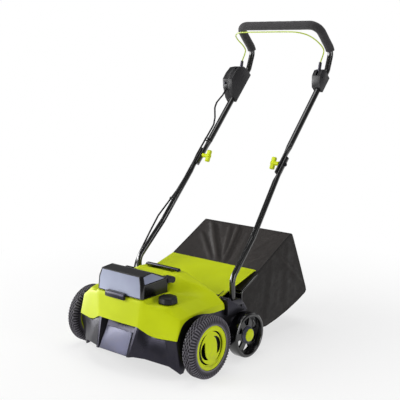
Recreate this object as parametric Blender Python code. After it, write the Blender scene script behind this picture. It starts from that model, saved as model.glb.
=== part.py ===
"""Walk-behind battery lawn dethatcher, modelled as an assembly of separate solids.

Metres, +Z up. The machine faces -Y, so +X is its left-hand side. Every shape is laid out from the
front axle (y = 0) and the ground (z = 0). The machine empty then moves the whole object, so that the
origin lies on the ground under the middle of its box.
"""

from math import atan2, cos, pi, radians, sin, tan

import bmesh
import bpy
from mathutils import Matrix, Vector

# Driving dimensions --------------------------------------------------------------------------------
FRONT_WHEEL_RADIUS = 0.1015
FRONT_WHEEL_OUTER = 0.2881      # outer face of the tyre, from the centre plane
FRONT_WHEEL_WIDTH = 0.042
FRONT_HUB_RADIUS = 0.0722
TYRE_BORE = 0.0727
FRONT_AXLE_RADIUS = 0.006
CRANK_ARM = 0.045               # the front axle turns about a line this far in front of the wheels
CRANK_PIVOT = (-CRANK_ARM, FRONT_WHEEL_RADIUS)

REAR_WHEEL_RADIUS = 0.0772
REAR_WHEEL_OUTER = 0.2661
REAR_WHEEL_WIDTH = 0.040
REAR_AXLE = (0.2283, REAR_WHEEL_RADIUS)
REAR_AXLE_RADIUS = 0.005
CAP_RADIUS = 0.0217

SHELL = 0.003                   # moulded wall of the top cover
GAP = 0.0004                    # clearance between neighbouring pieces
DECK_SIDE = 0.2237              # half-width of the top cover
PLATE_INNER = 0.2165            # side plates of the lower housing
PLATE_OUTER = 0.2200

ROTOR_AXIS = (0.105, 0.084)
TINE_TIP_RADIUS = 0.074
CHAMBER_RADIUS = 0.084
MOTOR_AXIS = (0.070, 0.208)
MOTOR_RADIUS = 0.033
BELT_X = 0.180
BELT_WIDTH = 0.010
BELT_THICKNESS = 0.003
MOTOR_PULLEY_RADIUS = 0.0125
ROTOR_PULLEY_RADIUS = 0.022

BAY_HALF_WIDTH = 0.0925
BAY_FRONT = -0.1135
BAY_BACK = -0.0065
BAY_BOTTOM = 0.1640
PACK_BOTTOM = BAY_BOTTOM + 0.0029
COVER_HINGE = (0.018, 0.288)
LATCH_X = -0.008
LATCH_HINGE = (-0.1275, 0.2565)
KNOB_CENTRE = (0.1505, -0.0545)
KNOB_RADIUS = 0.033
KNOB_BASE = 0.2364

FLAP_HINGE = (0.1535, 0.2110)
FLAP_SLOPE = radians(15.5)
FLAP_LENGTH = 0.2035
FLAP_HALF_WIDTH = 0.194

BRACKET_INNER = 0.1965
BRACKET_OUTER = 0.2335
LOWER_TUBE_RADIUS = 0.0100
HANDLE_RADIUS = 0.0110
TUBE_WALL = 0.0015
TUBE_SIDES = 12
PRESSED_HALF = 0.0062           # half-thickness of a tube end where it is pressed flat
TUBE_FOOT = (0.2180, 0.189, 0.166)
TUBE_BEND = (0.2175, 0.189, 0.275)
TUBE_KINK = (0.2110, 0.310, 0.393)
HANDLE_BOLT = (0.1915, 0.5042, 0.6227)
LOWER_END_LENGTH = 0.030        # the lower tube runs this far past the bolt
UPPER_END_LENGTH = 0.040        # and the upper one this far below it
HANDLE_KNEE = (0.1842, 0.795, 0.944)
GRIP_START = (0.1837, 0.8212, 1.016)
GRIP_CORNER = (0.1815, 0.7287, 1.1108)
GRIP_RADIUS = 0.0165
WING_TILT = radians(22)
BAIL_PIVOT = (0.742, 0.944)
BAIL_ARM_X = 0.183
BAIL_PIN_RADIUS = 0.0025
SWITCH_X = (-0.215, -0.1695)
SWITCH_PARTING = -0.1885

CABLE_RADIUS = 0.0033
# x, then distance up the handle and rise in front of it
UPPER_CABLE = [(-0.2000, 0.2960, 0.0400), (-0.2000, 0.2620, 0.0420), (-0.1985, 0.2170, 0.0530),
               (-0.1970, 0.1930, 0.0500), (-0.1970, 0.1650, 0.0230), (-0.1970, 0.1400, 0.0105),
               (-0.1985, 0.0450, 0.0110)]
LOWER_CABLE = [(-0.2092, 0.4860, 0.6010), (-0.2145, 0.4585, 0.5640), (-0.2165, 0.4370, 0.5370),
               (-0.2183, 0.3966, 0.4954), (-0.2210, 0.3378, 0.4463), (-0.2228, 0.2990, 0.4143),
               (-0.2256, 0.2601, 0.3641), (-0.2285, 0.2209, 0.3111), (-0.2300, 0.2019, 0.2848),
               (-0.2325, 0.1870, 0.2580), (-0.2300, 0.1780, 0.2400), (-0.2185, 0.1737, 0.2200),
               (-0.2185, 0.1737, 0.1950)]

BAG_HALF_WIDTH = 0.2016
BAG_WALL = 0.002
BAG_FRONT = 0.2600

FRONT_END = -0.1613             # foremost point of the bumper
REAR_END = 0.82762              # rearmost point of the grip
CENTRE_Y = (FRONT_END + REAR_END) / 2

# colour, roughness, metallic
FINISHES = {
    "lime_plastic": ((0.62, 0.76, 0.02), 0.38, 0.0),
    "black_plastic": ((0.018, 0.018, 0.020), 0.45, 0.0),
    "grey_plastic": ((0.16, 0.16, 0.18), 0.40, 0.0),
    "smoked_plastic": ((0.10, 0.10, 0.12), 0.12, 0.0),
    "tyre_rubber": ((0.045, 0.042, 0.050), 0.75, 0.0),
    "painted_tube": ((0.012, 0.012, 0.013), 0.25, 0.2),
    "lime_wire": ((0.66, 0.80, 0.05), 0.30, 0.3),
    "foam": ((0.020, 0.020, 0.022), 0.85, 0.0),
    "fabric": ((0.022, 0.021, 0.022), 0.90, 0.0),
    "steel": ((0.55, 0.55, 0.56), 0.35, 1.0),
    "rubber": ((0.020, 0.020, 0.020), 0.70, 0.0),
    "board_green": ((0.02, 0.16, 0.07), 0.50, 0.0),
}


# Scene and shape helpers ---------------------------------------------------------------------------
def clear_scene():
    for obj in list(bpy.data.objects):
        bpy.data.objects.remove(obj, do_unlink=True)


def make_machine_empty():
    empty = bpy.data.objects.new("machine", None)
    empty.location = (0.0, -CENTRE_Y, 0.0)
    bpy.context.scene.collection.objects.link(empty)
    return empty


def make_material(name):
    colour, roughness, metallic = FINISHES[name]
    finish = bpy.data.materials.new(name)
    finish.use_nodes = True
    shader = finish.node_tree.nodes["Principled BSDF"]
    shader.inputs["Base Color"].default_value = (*colour, 1.0)
    shader.inputs["Roughness"].default_value = roughness
    shader.inputs["Metallic"].default_value = metallic
    finish.diffuse_color = (*colour, 1.0)
    return finish


def raw_object(name, shape):
    """An object from a bmesh, with its faces pointing out. The bmesh is used up."""
    bmesh.ops.recalc_face_normals(shape, faces=shape.faces)
    mesh = bpy.data.meshes.new(name)
    shape.to_mesh(mesh)
    shape.free()
    obj = bpy.data.objects.new(name, mesh)
    bpy.context.scene.collection.objects.link(obj)
    return obj


def combine(base, tool_shape, operation):
    """Boolean of an object with a bmesh solid, applied at once."""
    tool = raw_object("tool", tool_shape)
    boolean = base.modifiers.new("combine", "BOOLEAN")
    boolean.operation = operation
    boolean.object = tool
    graph = bpy.context.evaluated_depsgraph_get()
    mesh = bpy.data.meshes.new_from_object(base.evaluated_get(graph))
    base.modifiers.clear()
    base.data = mesh
    bpy.data.objects.remove(tool, do_unlink=True)
    return base


def solid(name, shape, joined=(), cut=()):
    """An object from a first bmesh, with further bmesh solids joined to it and others cut from it."""
    obj = raw_object(name, shape)
    for extra in joined:
        combine(obj, extra, "UNION")
    for hole in cut:
        combine(obj, hole, "DIFFERENCE")
    return obj


def place(obj, finish, pivot=(0.0, 0.0, 0.0)):
    """Gives an object its finish, puts its origin on its pivot and parents it to the machine."""
    obj.data.transform(Matrix.Translation(-Vector(pivot)))
    obj.location = pivot
    obj.parent = MACHINE
    obj.data.materials.clear()
    obj.data.materials.append(MATERIALS[finish])
    obj.data.shade_smooth()
    obj.data.set_sharp_from_angle(angle=radians(32))
    return obj


def mirrored(points):
    """The points and their reflections in the centre plane."""
    return [(x, y, z) for x, y, z in points] + [(-x, y, z) for x, y, z in points]


def on_side(side, low, high):
    """A range along X, turned to the machine's left (side 1) or right (side -1)."""
    return (low, high) if side > 0 else (-high, -low)


def along(axis, across, up, depth):
    """A point from two outline coordinates and its depth along an axis."""
    return {"x": (depth, across, up), "y": (across, depth, up), "z": (across, up, depth)}[axis]


def prism(outline, low, high, axis="x"):
    """An outline in the plane across an axis, extruded from low to high along it."""
    shape = bmesh.new()
    base = shape.faces.new([shape.verts.new(along(axis, u, v, low)) for u, v in outline])
    grown = bmesh.ops.extrude_face_region(shape, geom=[base])["geom"]
    moved = [item for item in grown if isinstance(item, bmesh.types.BMVert)]
    bmesh.ops.translate(shape, verts=moved, vec=along(axis, 0.0, 0.0, high - low))
    return shape


def block(low, high):
    """A box between two corners."""
    outline = [(low[1], low[2]), (high[1], low[2]), (high[1], high[2]), (low[1], high[2])]
    return prism(outline, low[0], high[0])


def turned(profile, centre, segments, axis="x", side=1, start=0.0):
    """A profile of (distance along the axis, radius), turned about the axis through centre."""
    shape = bmesh.new()
    ring = [shape.verts.new((side * distance, radius, 0.0)) for distance, radius in profile]
    edges = [shape.edges.new((a, b)) for a, b in zip(ring, ring[1:] + ring[:1]) if a.co.y + b.co.y > 0]
    bmesh.ops.spin(shape, geom=ring + edges, cent=(0, 0, 0), axis=(1, 0, 0), angle=2 * pi,
                   steps=segments, use_merge=True)
    bmesh.ops.remove_doubles(shape, verts=shape.verts, dist=1e-6)
    bmesh.ops.dissolve_degenerate(shape, edges=shape.edges, dist=1e-7)
    bmesh.ops.rotate(shape, verts=shape.verts, cent=(0, 0, 0), matrix=Matrix.Rotation(start, 3, "X"))
    if axis == "z":
        bmesh.ops.rotate(shape, verts=shape.verts, cent=(0, 0, 0), matrix=Matrix.Rotation(-pi / 2, 3, "Y"))
    offset = (0.0, centre[0], centre[1]) if axis == "x" else (centre[0], centre[1], 0.0)
    bmesh.ops.translate(shape, verts=shape.verts, vec=offset)
    return shape


def rod(low, high, radius, centre, segments=14, axis="x"):
    """A plain round bar between two places along its axis."""
    return turned([(low, 0.0), (low, radius), (high, radius), (high, 0.0)], centre, segments, axis)


def arc(centre, radius, start, end, steps):
    """Points on a circular arc in a plane, angles in degrees."""
    angles = [radians(start + (end - start) * i / steps) for i in range(steps + 1)]
    return [(centre[0] + radius * cos(a), centre[1] + radius * sin(a)) for a in angles]


def rounded(corners, radius, steps=5):
    """A 3-D polyline through corners, with each inner corner replaced by an arc."""
    points = [Vector(corners[0])]
    for before, corner, after in zip(corners, corners[1:], corners[2:]):
        corner = Vector(corner)
        back = (Vector(before) - corner).normalized()
        ahead = (Vector(after) - corner).normalized()
        half = back.angle(ahead) / 2
        reach = radius / tan(half)
        centre = corner + (back + ahead).normalized() * (radius / sin(half))
        first = corner + back * reach - centre
        last = corner + ahead * reach - centre
        axis = first.cross(last).normalized()
        for i in range(steps + 1):
            points.append(centre + Matrix.Rotation(first.angle(last) * i / steps, 3, axis) @ first)
    return points + [Vector(corners[-1])]


def sweep(path, radius, sides=12, bore=None):
    """A round bar along a path, or a tube with a bore; its ends are flat and square to the path."""
    path = [Vector(point) for point in path]
    tangents = []
    for i in range(len(path)):
        tangents.append((path[min(i + 1, len(path) - 1)] - path[max(i - 1, 0)]).normalized())
    normal = tangents[0].orthogonal().normalized()
    if abs(tangents[0].x) < 0.9:
        normal = (Vector((1, 0, 0)) - tangents[0] * tangents[0].x).normalized()
    shape = bmesh.new()
    rings = {radius: [], bore: []}
    for i, (point, tangent) in enumerate(zip(path, tangents)):
        if i:
            normal = (tangents[i - 1].rotation_difference(tangent) @ normal).normalized()
        other = tangent.cross(normal)
        for size in filter(None, rings):
            turns = [2 * pi * (k + 0.5) / sides for k in range(sides)]
            rings[size].append([shape.verts.new(point + (normal * cos(t) + other * sin(t)) * size)
                                for t in turns])
    for size in filter(None, rings):
        for near, far in zip(rings[size], rings[size][1:]):
            for k in range(sides):
                shape.faces.new((near[k], near[k - 1], far[k - 1], far[k]))
    for end in (0, -1):
        if bore:
            for k in range(sides):
                outer, inner = rings[radius][end], rings[bore][end]
                shape.faces.new((outer[k], outer[k - 1], inner[k - 1], inner[k]))
        else:
            shape.faces.new(rings[radius][end])
    return shape


def sheet(rows, thickness):
    """A surface through rows of points, mirrored in the centre plane and thickened inwards."""
    shape = bmesh.new()
    grid = [[shape.verts.new(point) if point else None for point in row] for row in rows]
    for lower, upper in zip(grid, grid[1:]):
        for a, b, c, d in zip(lower, lower[1:], upper[1:], upper):
            if None not in (a, b, c, d):
                shape.faces.new((a, b, c, d))
    bmesh.ops.remove_doubles(shape, verts=shape.verts, dist=1e-6)
    obj = raw_object("sheet", shape)
    mirror = obj.modifiers.new("both halves", "MIRROR")
    mirror.merge_threshold = 0.0001
    thicken = obj.modifiers.new("wall", "SOLIDIFY")
    thicken.thickness = thickness
    thicken.offset = -1.0
    thicken.use_even_offset = True
    graph = bpy.context.evaluated_depsgraph_get()
    obj.data = bpy.data.meshes.new_from_object(obj.evaluated_get(graph))
    obj.modifiers.clear()
    return obj


def hull_shape(points):
    shape = bmesh.new()
    for point in points:
        shape.verts.new(point)
    bmesh.ops.convex_hull(shape, input=shape.verts)
    bmesh.ops.dissolve_limit(shape, angle_limit=radians(0.5), verts=shape.verts, edges=shape.edges)
    return shape


def press_end(shape, centre, direction, radius, length=0.075):
    """Presses a tube end flat along X, over a length on both sides of its bolt."""
    for vert in shape.verts:
        distance = abs((vert.co - centre).dot(direction))
        if vert.co.x * centre.x < 0 or distance > length:
            continue
        amount = min(1.0, (length - distance) / 0.030)
        vert.co.x += (vert.co.x - centre.x) * (PRESSED_HALF / radius - 1) * amount


# Wheels and axles ----------------------------------------------------------------------------------
def make_front_wheel(side, word):
    inner = FRONT_WHEEL_OUTER - FRONT_WHEEL_WIDTH
    shoulder = 0.0045
    segments = 32
    facet = 1 / cos(pi / segments)      # radii are measured to the flats, so the tyre stands on one
    profile = [(inner, TYRE_BORE), (inner, FRONT_WHEEL_RADIUS - shoulder),
               (inner + shoulder, FRONT_WHEEL_RADIUS),
               (FRONT_WHEEL_OUTER - shoulder, FRONT_WHEEL_RADIUS),
               (FRONT_WHEEL_OUTER, FRONT_WHEEL_RADIUS - shoulder), (FRONT_WHEEL_OUTER, TYRE_BORE)]
    profile = [(x, radius * facet) for x, radius in profile]
    centre = (0.0, FRONT_WHEEL_RADIUS)
    shape = turned(profile, centre, segments, side=side, start=pi / segments)
    place(solid(f"front_{word}_tyre", shape), "tyre_rubber", (0.0, *centre))

    face = FRONT_WHEEL_OUTER - 0.0045
    rim = FRONT_WHEEL_OUTER - 0.0015
    web = face - 0.0055
    bore = FRONT_AXLE_RADIUS + 0.0006
    profile = [(face, 0.0), (face, 0.058), (rim, 0.062), (rim, FRONT_HUB_RADIUS),
               (inner + 0.0015, FRONT_HUB_RADIUS), (inner + 0.0015, 0.066), (web, 0.064),
               (web, 0.016), (inner + 0.0015, 0.014), (inner + 0.0015, bore), (web, bore), (web, 0.0)]
    slots = []
    for middle in (0, 180):
        for radius, width, spread in ((0.0525, 0.0055, 50), (0.031, 0.007, 36)):
            outline = arc((0.0, 0.0), radius + width / 2, middle - spread, middle + spread, 5)
            outline += arc((0.0, 0.0), radius - width / 2, middle + spread, middle - spread, 5)
            outline = [(y + centre[0], z + centre[1]) for y, z in outline]
            slots.append(prism(outline, *on_side(side, web - 0.004, rim + 0.004)))
    hub = solid(f"front_{word}_hub", turned(profile, centre, 28, side=side), cut=slots)
    place(hub, "lime_plastic", (0.0, *centre))


def make_front_axle():
    """Cranked axle: one cross shaft that turns in the side plates, two arms and two wheel stubs."""
    stub_end = FRONT_WHEEL_OUTER - 0.0104
    wheel = (0.0, FRONT_WHEEL_RADIUS)
    extras = []
    for side in (1, -1):
        arm = arc(CRANK_PIVOT, 0.009, 90, 270, 6) + arc(wheel, 0.009, -90, 90, 6)
        extras.append(prism(arm, *on_side(side, 0.2230, 0.2310)))
        extras.append(rod(*on_side(side, 0.2240, stub_end), FRONT_AXLE_RADIUS, wheel))
    shaft = rod(-0.2300, 0.2300, FRONT_AXLE_RADIUS, CRANK_PIVOT)
    place(solid("front_axle", shaft, joined=extras), "steel", (0.0, *CRANK_PIVOT))


def make_rear_wheel(side, word):
    outer, inner = REAR_WHEEL_OUTER, REAR_WHEEL_OUTER - REAR_WHEEL_WIDTH
    segments = 28
    facet = 1 / cos(pi / segments)
    radius = REAR_WHEEL_RADIUS * facet
    bore = REAR_AXLE_RADIUS + 0.0006
    profile = [(inner, bore), (outer - 0.0061, bore), (outer - 0.0061, 0.0245), (outer - 0.0141, 0.0275),
               (outer - 0.0181, 0.0600), (outer - 0.0021, 0.0650), (outer, 0.0665),
               (outer, radius - 0.0032), (outer - 0.0029, radius), (inner + 0.0029, radius),
               (inner, radius - 0.0037), (inner, 0.0680), (outer - 0.0241, 0.0640),
               (outer - 0.0221, 0.0280), (inner, 0.0250)]
    windows = []
    for i in range(6):
        middle = 60 * i + 30
        outline = arc(REAR_AXLE, 0.0315, middle - 12, middle + 12, 2)
        outline += arc(REAR_AXLE, 0.0570, middle + 18, middle - 18, 3)
        windows.append(prism(outline, *on_side(side, inner + 0.008, outer - 0.008)))
    shape = turned(profile, REAR_AXLE, segments, side=side, start=pi / segments)
    place(solid(f"rear_{word}_wheel", shape, cut=windows), "black_plastic", (0.0, *REAR_AXLE))

    base = outer - 0.0057
    profile = [(base, 0.0), (base, CAP_RADIUS - 0.0004), (base + 0.0036, CAP_RADIUS),
               (base + 0.0053, CAP_RADIUS - 0.0045), (base + 0.0057, 0.0)]
    cap = solid(f"rear_{word}_cap", turned(profile, REAR_AXLE, 24, side=side))
    place(cap, "lime_plastic", (0.0, *REAR_AXLE))


def make_rear_axle():
    end = REAR_WHEEL_OUTER - 0.0063
    place(solid("rear_axle", rod(-end, end, REAR_AXLE_RADIUS, REAR_AXLE)), "steel", (0.0, *REAR_AXLE))


# Body ----------------------------------------------------------------------------------------------
ARCH_LINE = [(-0.080, 0.162), (-0.066, 0.184), (-0.030, 0.197), (0.020, 0.197), (0.070, 0.183),
             (0.128, 0.1815), (0.1350, 0.182), (0.1375, 0.1822), (0.1410, 0.1825)]
DECK_ROWS = [
    # lower front edge
    [(0, -0.1365, 0.1610), (0.0900, -0.1331, 0.1607), (0.1050, -0.1286, 0.1525),
     (0.1376, -0.1176, 0.1340), (0.1820, -0.1047, 0.1337), (DECK_SIDE, -0.0930, 0.1335)],
    # upper front edge
    [(0, -0.1275, 0.2450), (0.0945, -0.1245, 0.2450), (0.1050, -0.1220, 0.2440),
     (0.1160, -0.1175, 0.2380), (0.1700, -0.0965, 0.2240), (DECK_SIDE, -0.0750, 0.1975)],
    # front of the battery opening
    [(0, -0.1150, 0.2503), (0.0945, -0.1150, 0.2503), (0.1065, -0.1130, 0.2503),
     (0.1145, -0.1090, 0.2375), (0.1740, -0.0840, 0.2330), (DECK_SIDE, -0.0660, 0.1990)],
    # knob shelf
    [None, (0.0945, -0.0600, 0.2503), (0.1065, -0.0600, 0.2503),
     (0.1145, -0.0600, 0.2352), (0.1850, -0.0550, 0.2345), (DECK_SIDE, -0.0300, 0.2035)],
    # back of the battery opening
    [(0, -0.0050, 0.2503), (0.0945, -0.0050, 0.2503), (0.1065, -0.0050, 0.2503),
     (0.1145, -0.0050, 0.2370), (0.1840, 0.0050, 0.2330), (DECK_SIDE, 0.0200, 0.2040)],
    # foot of the hump
    [(0, 0.0040, 0.2600), (0.0850, 0.0040, 0.2600), (0.0980, 0.0120, 0.2570),
     (0.1200, 0.0280, 0.2420), (0.1830, 0.0600, 0.2310), (DECK_SIDE, 0.0700, 0.2045)],
    # front edge of the ridge
    [(0, 0.0500, 0.2960), (0.0850, 0.0550, 0.2950), (0.1150, 0.0680, 0.2820),
     (0.1480, 0.0850, 0.2670), (0.1880, 0.1130, 0.2370), (DECK_SIDE, 0.1280, 0.2075)],
    # back edge of the ridge
    [(0, 0.1150, 0.2960), (0.0880, 0.1050, 0.2920), (0.1180, 0.1060, 0.2790),
     (0.1550, 0.1120, 0.2620), (0.1950, 0.1300, 0.2320), (DECK_SIDE, 0.1365, 0.2040)],
    # top of the rear wall
    [(0, 0.1420, 0.2300), (0.0900, 0.1420, 0.2280), (0.1200, 0.1420, 0.2260),
     (0.1550, 0.1420, 0.2220), (0.1960, 0.1420, 0.2160), (DECK_SIDE, 0.1385, 0.2000)],
    # bottom of the rear wall
    [(0, 0.1435, 0.1860), (0.0900, 0.1435, 0.1860), (0.1200, 0.1435, 0.1860),
     (0.1550, 0.1435, 0.1860), (0.1960, 0.1430, 0.1860), (DECK_SIDE, 0.1410, 0.1870)],
]


def deck_grid():
    """The rows of the top cover, each run down to the wheel arch at its outer end."""
    rows = [list(DECK_ROWS[0]) + [DECK_ROWS[0][-1]]]
    for row, (y, z) in zip(DECK_ROWS[1:], ARCH_LINE):
        rows.append(list(row) + [(DECK_SIDE, y, z)])
    return rows


def make_top_cover():
    cover = sheet(deck_grid(), SHELL)
    cover.name = "top_cover"
    for side in (1, -1):
        post = arc(COVER_HINGE, 0.0075, 210, -30, 8) + [(0.030, 0.274), (0.012, 0.2612)]
        combine(cover, prism(post, *on_side(side, 0.066, 0.0765)), "UNION")
    hinge_hole = rod(-0.12, 0.12, 0.0029, COVER_HINGE)
    knob_hole = rod(0.20, 0.26, 0.0078, KNOB_CENTRE, axis="z")
    finger_hole = block((-0.060, 0.063, 0.285), (0.060, 0.103, 0.305))
    for hole in (hinge_hole, knob_hole, finger_hole):
        combine(cover, hole, "DIFFERENCE")
    place(cover, "lime_plastic")


def make_carry_handle():
    outline = [(-0.078, 0.2964), (-0.063, 0.2964), (-0.057, 0.2985), (0.057, 0.2985), (0.063, 0.2964),
               (0.078, 0.2964), (0.073, 0.3045), (-0.073, 0.3045)]
    place(solid("carry_handle", prism(outline, 0.0780, 0.0900, "y")), "black_plastic")


BUMPER_COLUMNS = [
    # (top, bottom) of each vertical line of the bumper, from the middle outwards
    ((0, -0.1080, 0.1630), (0, -0.1535, 0.0620)),
    ((0.0620, -0.1080, 0.1630), (0.0650, -0.1530, 0.0620)),
    ((0.0780, -0.1290, 0.1630), (0.0660, FRONT_END, 0.0640)),
    ((0.0880, -0.1290, 0.1630), (0.0740, -0.1600, 0.0640)),
    ((0.0970, -0.1258, 0.1590), (0.0840, -0.1480, 0.0640)),
    ((0.1376, -0.1160, 0.1315), (0.1270, -0.1395, 0.0660)),
    ((0.1820, -0.1032, 0.1312), (0.1940, -0.0995, 0.0460)),
    ((0.2190, -0.0915, 0.1312), (0.2190, -0.0745, 0.0190)),
]


def chamber_arc(radius, start=128.2, end=75, steps=8):
    return arc(ROTOR_AXIS, radius, start, end, steps)


def make_lower_housing():
    """Chassis: bumper wall, two side plates, chamber roof, belt-side wall and discharge floor."""
    housing = sheet([[top for top, _ in BUMPER_COLUMNS], [bottom for _, bottom in BUMPER_COLUMNS]],
                    0.0035)
    housing.name = "lower_housing"
    side_outline = [(-0.0885, 0.1330), (-0.0745, 0.0190), (-0.0600, 0.0190), (-0.0500, 0.0350),
                    (0.1900, 0.0350), (0.2620, 0.0600), (0.2700, 0.1300), (0.2620, 0.1570),
                    (0.1442, 0.1570), (0.1438, 0.1785), (0.1350, 0.1785), (0.1320, 0.1940),
                    (-0.0450, 0.1940), (-0.0660, 0.1830), (-0.0800, 0.1560)]
    roof_plan = [(0.0620, -0.1105), (0.0900, -0.1200), (0.1280, -0.1080), (0.2175, -0.0830),
                 (0.2175, 0.0530), (-0.2175, 0.0530), (-0.2175, -0.0830), (-0.1280, -0.1080),
                 (-0.0900, -0.1200), (-0.0620, -0.1105)]
    roof_arch = chamber_arc(CHAMBER_RADIUS) + [(0.1442, 0.1715), (0.1442, 0.1680)]
    roof_arch += chamber_arc(CHAMBER_RADIUS - 0.0035, 75, 128.2)
    belt_wall = [(0.0360, 0.0450), (0.0360, 0.1480)] + chamber_arc(CHAMBER_RADIUS - 0.0015)
    belt_wall += [(0.1442, 0.1700), (0.1800, 0.1000), (0.1800, 0.0450)]
    floor = [(0.1860, 0.0450), (0.1900, 0.0880), (0.2050, 0.1040), (0.2565, 0.1140),
             (0.2565, 0.1110), (0.2065, 0.1005), (0.1930, 0.0865), (0.1890, 0.0450)]
    cradle = [(0.0500, 0.1550)] + arc(MOTOR_AXIS, MOTOR_RADIUS + GAP, 235, 305, 6) + [(0.0950, 0.1640)]
    parts = [prism(side_outline, *on_side(side, PLATE_INNER, PLATE_OUTER)) for side in (1, -1)]
    parts.append(prism(roof_plan, 0.1465, 0.1500, "z"))
    parts.append(prism(roof_arch, -0.2175, 0.2175))
    parts.append(prism(belt_wall, 0.1655, 0.1685))
    parts.append(prism(floor, -0.2175, 0.2175))
    parts += [prism(cradle, x, x + 0.012) for x in (-0.070, 0.085)]
    holes = [rod(-0.24, 0.24, FRONT_AXLE_RADIUS + 0.0006, CRANK_PIVOT),
             rod(-0.24, 0.24, REAR_AXLE_RADIUS + 0.0006, REAR_AXLE),
             rod(0.160, 0.175, 0.0125, ROTOR_AXIS)]
    holes += [rod(*on_side(side, 0.212, 0.225), 0.0165, ROTOR_AXIS, 24) for side in (1, -1)]
    holes.append(block((0.1705, 0.0500, 0.1000), (0.1895, 0.1320, 0.2000)))
    for extra in parts:
        combine(housing, extra, "UNION")
    for hole in holes:
        combine(housing, hole, "DIFFERENCE")
    place(housing, "black_plastic")


def make_badge_plate():
    """Plain trapezoid plate in the middle of the bumper."""
    front = [(0.0580, -0.1245, 0.1340), (0.0635, -0.1580, 0.0655)]
    back = [(0.0580, -0.1220, 0.1335), (0.0635, -0.1555, 0.0650)]
    place(solid("badge_plate", hull_shape(mirrored(front + back))), "grey_plastic")


# Battery compartment -------------------------------------------------------------------------------
def make_battery_bay():
    wall = 0.0025
    outer = block((-BAY_HALF_WIDTH, BAY_FRONT, BAY_BOTTOM), (BAY_HALF_WIDTH, BAY_BACK, 0.2490))
    inside = block((-BAY_HALF_WIDTH + wall, BAY_FRONT + wall, BAY_BOTTOM + wall),
                   (BAY_HALF_WIDTH - wall, BAY_BACK - wall, 0.2600))
    place(solid("battery_bay", outer, cut=[inside]), "black_plastic")


def make_battery_pack(side, word):
    """A pack with chamfered top edges and a grip recess in its top."""
    low, high = on_side(side, 0.0045, 0.0865)
    outline = [(low, PACK_BOTTOM), (high, PACK_BOTTOM), (high, 0.2550), (high - 0.006, 0.2620),
               (low + 0.006, 0.2620), (low, 0.2550)]
    pack = prism(outline, BAY_FRONT + 0.0050, BAY_BACK - 0.0050, "y")
    middle = (low + high) / 2
    recess = block((middle - 0.022, -0.075, 0.2560), (middle + 0.022, -0.045, 0.2700))
    place(solid(f"battery_pack_{word}", pack, cut=[recess]), "black_plastic", (middle, -0.060, PACK_BOTTOM))


def make_safety_key():
    outline = [(-0.0240, 0.2300), (-0.0130, 0.2300), (-0.0130, 0.2480), (-0.0115, 0.2500),
               (-0.0115, 0.2660), (-0.0255, 0.2660), (-0.0255, 0.2500), (-0.0240, 0.2480)]
    place(solid("safety_key", prism(outline, -0.0030, 0.0030)), "lime_plastic", (0.0, -0.0185, 0.2300))


def make_battery_cover():
    """Smoked cover: a convex shell open below, with two hinge arms at its back."""
    corners = [(0.0973, -0.1238, 0.2507), (0.1035, -0.1150, 0.2507), (0.1035, -0.0062, 0.2507),
               (0.0945, -0.1205, 0.2945), (0.1045, -0.1130, 0.2945), (0.1045, -0.0055, 0.2985),
               (0.0863, -0.1163, 0.3227), (0.0925, -0.1080, 0.3220), (0.0905, -0.0650, 0.3265),
               (0.0965, -0.0050, 0.3010)]
    shape = hull_shape(mirrored(corners))
    bmesh.ops.recalc_face_normals(shape, faces=shape.faces)
    open_face = min(shape.faces, key=lambda face: face.calc_center_median().z)
    bmesh.ops.delete(shape, geom=[open_face], context="FACES_ONLY")
    cover = raw_object("battery_cover", shape)
    thicken = cover.modifiers.new("wall", "SOLIDIFY")
    thicken.thickness = 0.0024
    thicken.offset = -1.0
    thicken.use_even_offset = True
    graph = bpy.context.evaluated_depsgraph_get()
    cover.data = bpy.data.meshes.new_from_object(cover.evaluated_get(graph))
    cover.modifiers.clear()
    arm = [(-0.0062, 0.2960), (-0.0062, 0.2820), (0.0030, 0.2810)]
    arm += arc(COVER_HINGE, 0.0085, 250, 450, 8)
    for side in (1, -1):
        combine(cover, prism(arm, *on_side(side, 0.0780, 0.1030)), "UNION")
    # the back wall stops above the packs, so that it clears them as the cover opens
    pack_room = block((-0.0900, -0.0120, 0.2400), (0.0900, 0.0, 0.2700))
    for hole in (rod(-0.12, 0.12, 0.0029, COVER_HINGE), pack_room):
        combine(cover, hole, "DIFFERENCE")
    place(cover, "smoked_plastic", (0.0, *COVER_HINGE))


def make_cover_latch():
    outline = [(-0.1292, 0.2385), (-0.1372, 0.2385), (-0.1385, 0.2425), (-0.1385, 0.2515),
               (-0.1360, 0.2575), (-0.1252, 0.2595), (-0.1248, 0.2535), (-0.1292, 0.2520)]
    latch = prism(outline, LATCH_X - 0.0425, LATCH_X + 0.0425)
    place(solid("cover_latch", latch), "black_plastic", (LATCH_X, *LATCH_HINGE))


def make_cover_hinge_pin():
    pin = rod(-0.1045, 0.1045, 0.0025, COVER_HINGE, 10)
    place(solid("cover_hinge_pin", pin), "steel", (0.0, *COVER_HINGE))


def make_depth_knob():
    """Eight-sided knob over a stem that carries the height cam."""
    top = KNOB_BASE + 0.0212
    profile = [(KNOB_BASE, 0.0068), (KNOB_BASE, KNOB_RADIUS - 0.002), (KNOB_BASE + 0.003, KNOB_RADIUS),
               (top - 0.005, KNOB_RADIUS - 0.0015), (top, KNOB_RADIUS - 0.007), (top, 0.0),
               (top - 0.008, 0.0), (top - 0.008, 0.0068)]
    knob = turned(profile, KNOB_CENTRE, 8, axis="z", start=pi / 8)
    place(solid("depth_knob", knob), "black_plastic", (*KNOB_CENTRE, KNOB_BASE))

    stem = [(0.1530, 0.0), (0.1530, 0.0180), (0.1610, 0.0180), (0.1610, 0.0058), (top - 0.0084, 0.0058),
            (top - 0.0084, 0.0)]
    spindle = turned(stem, KNOB_CENTRE, 16, axis="z")
    place(solid("depth_spindle", spindle), "steel", (*KNOB_CENTRE, 0.1530))


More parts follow.
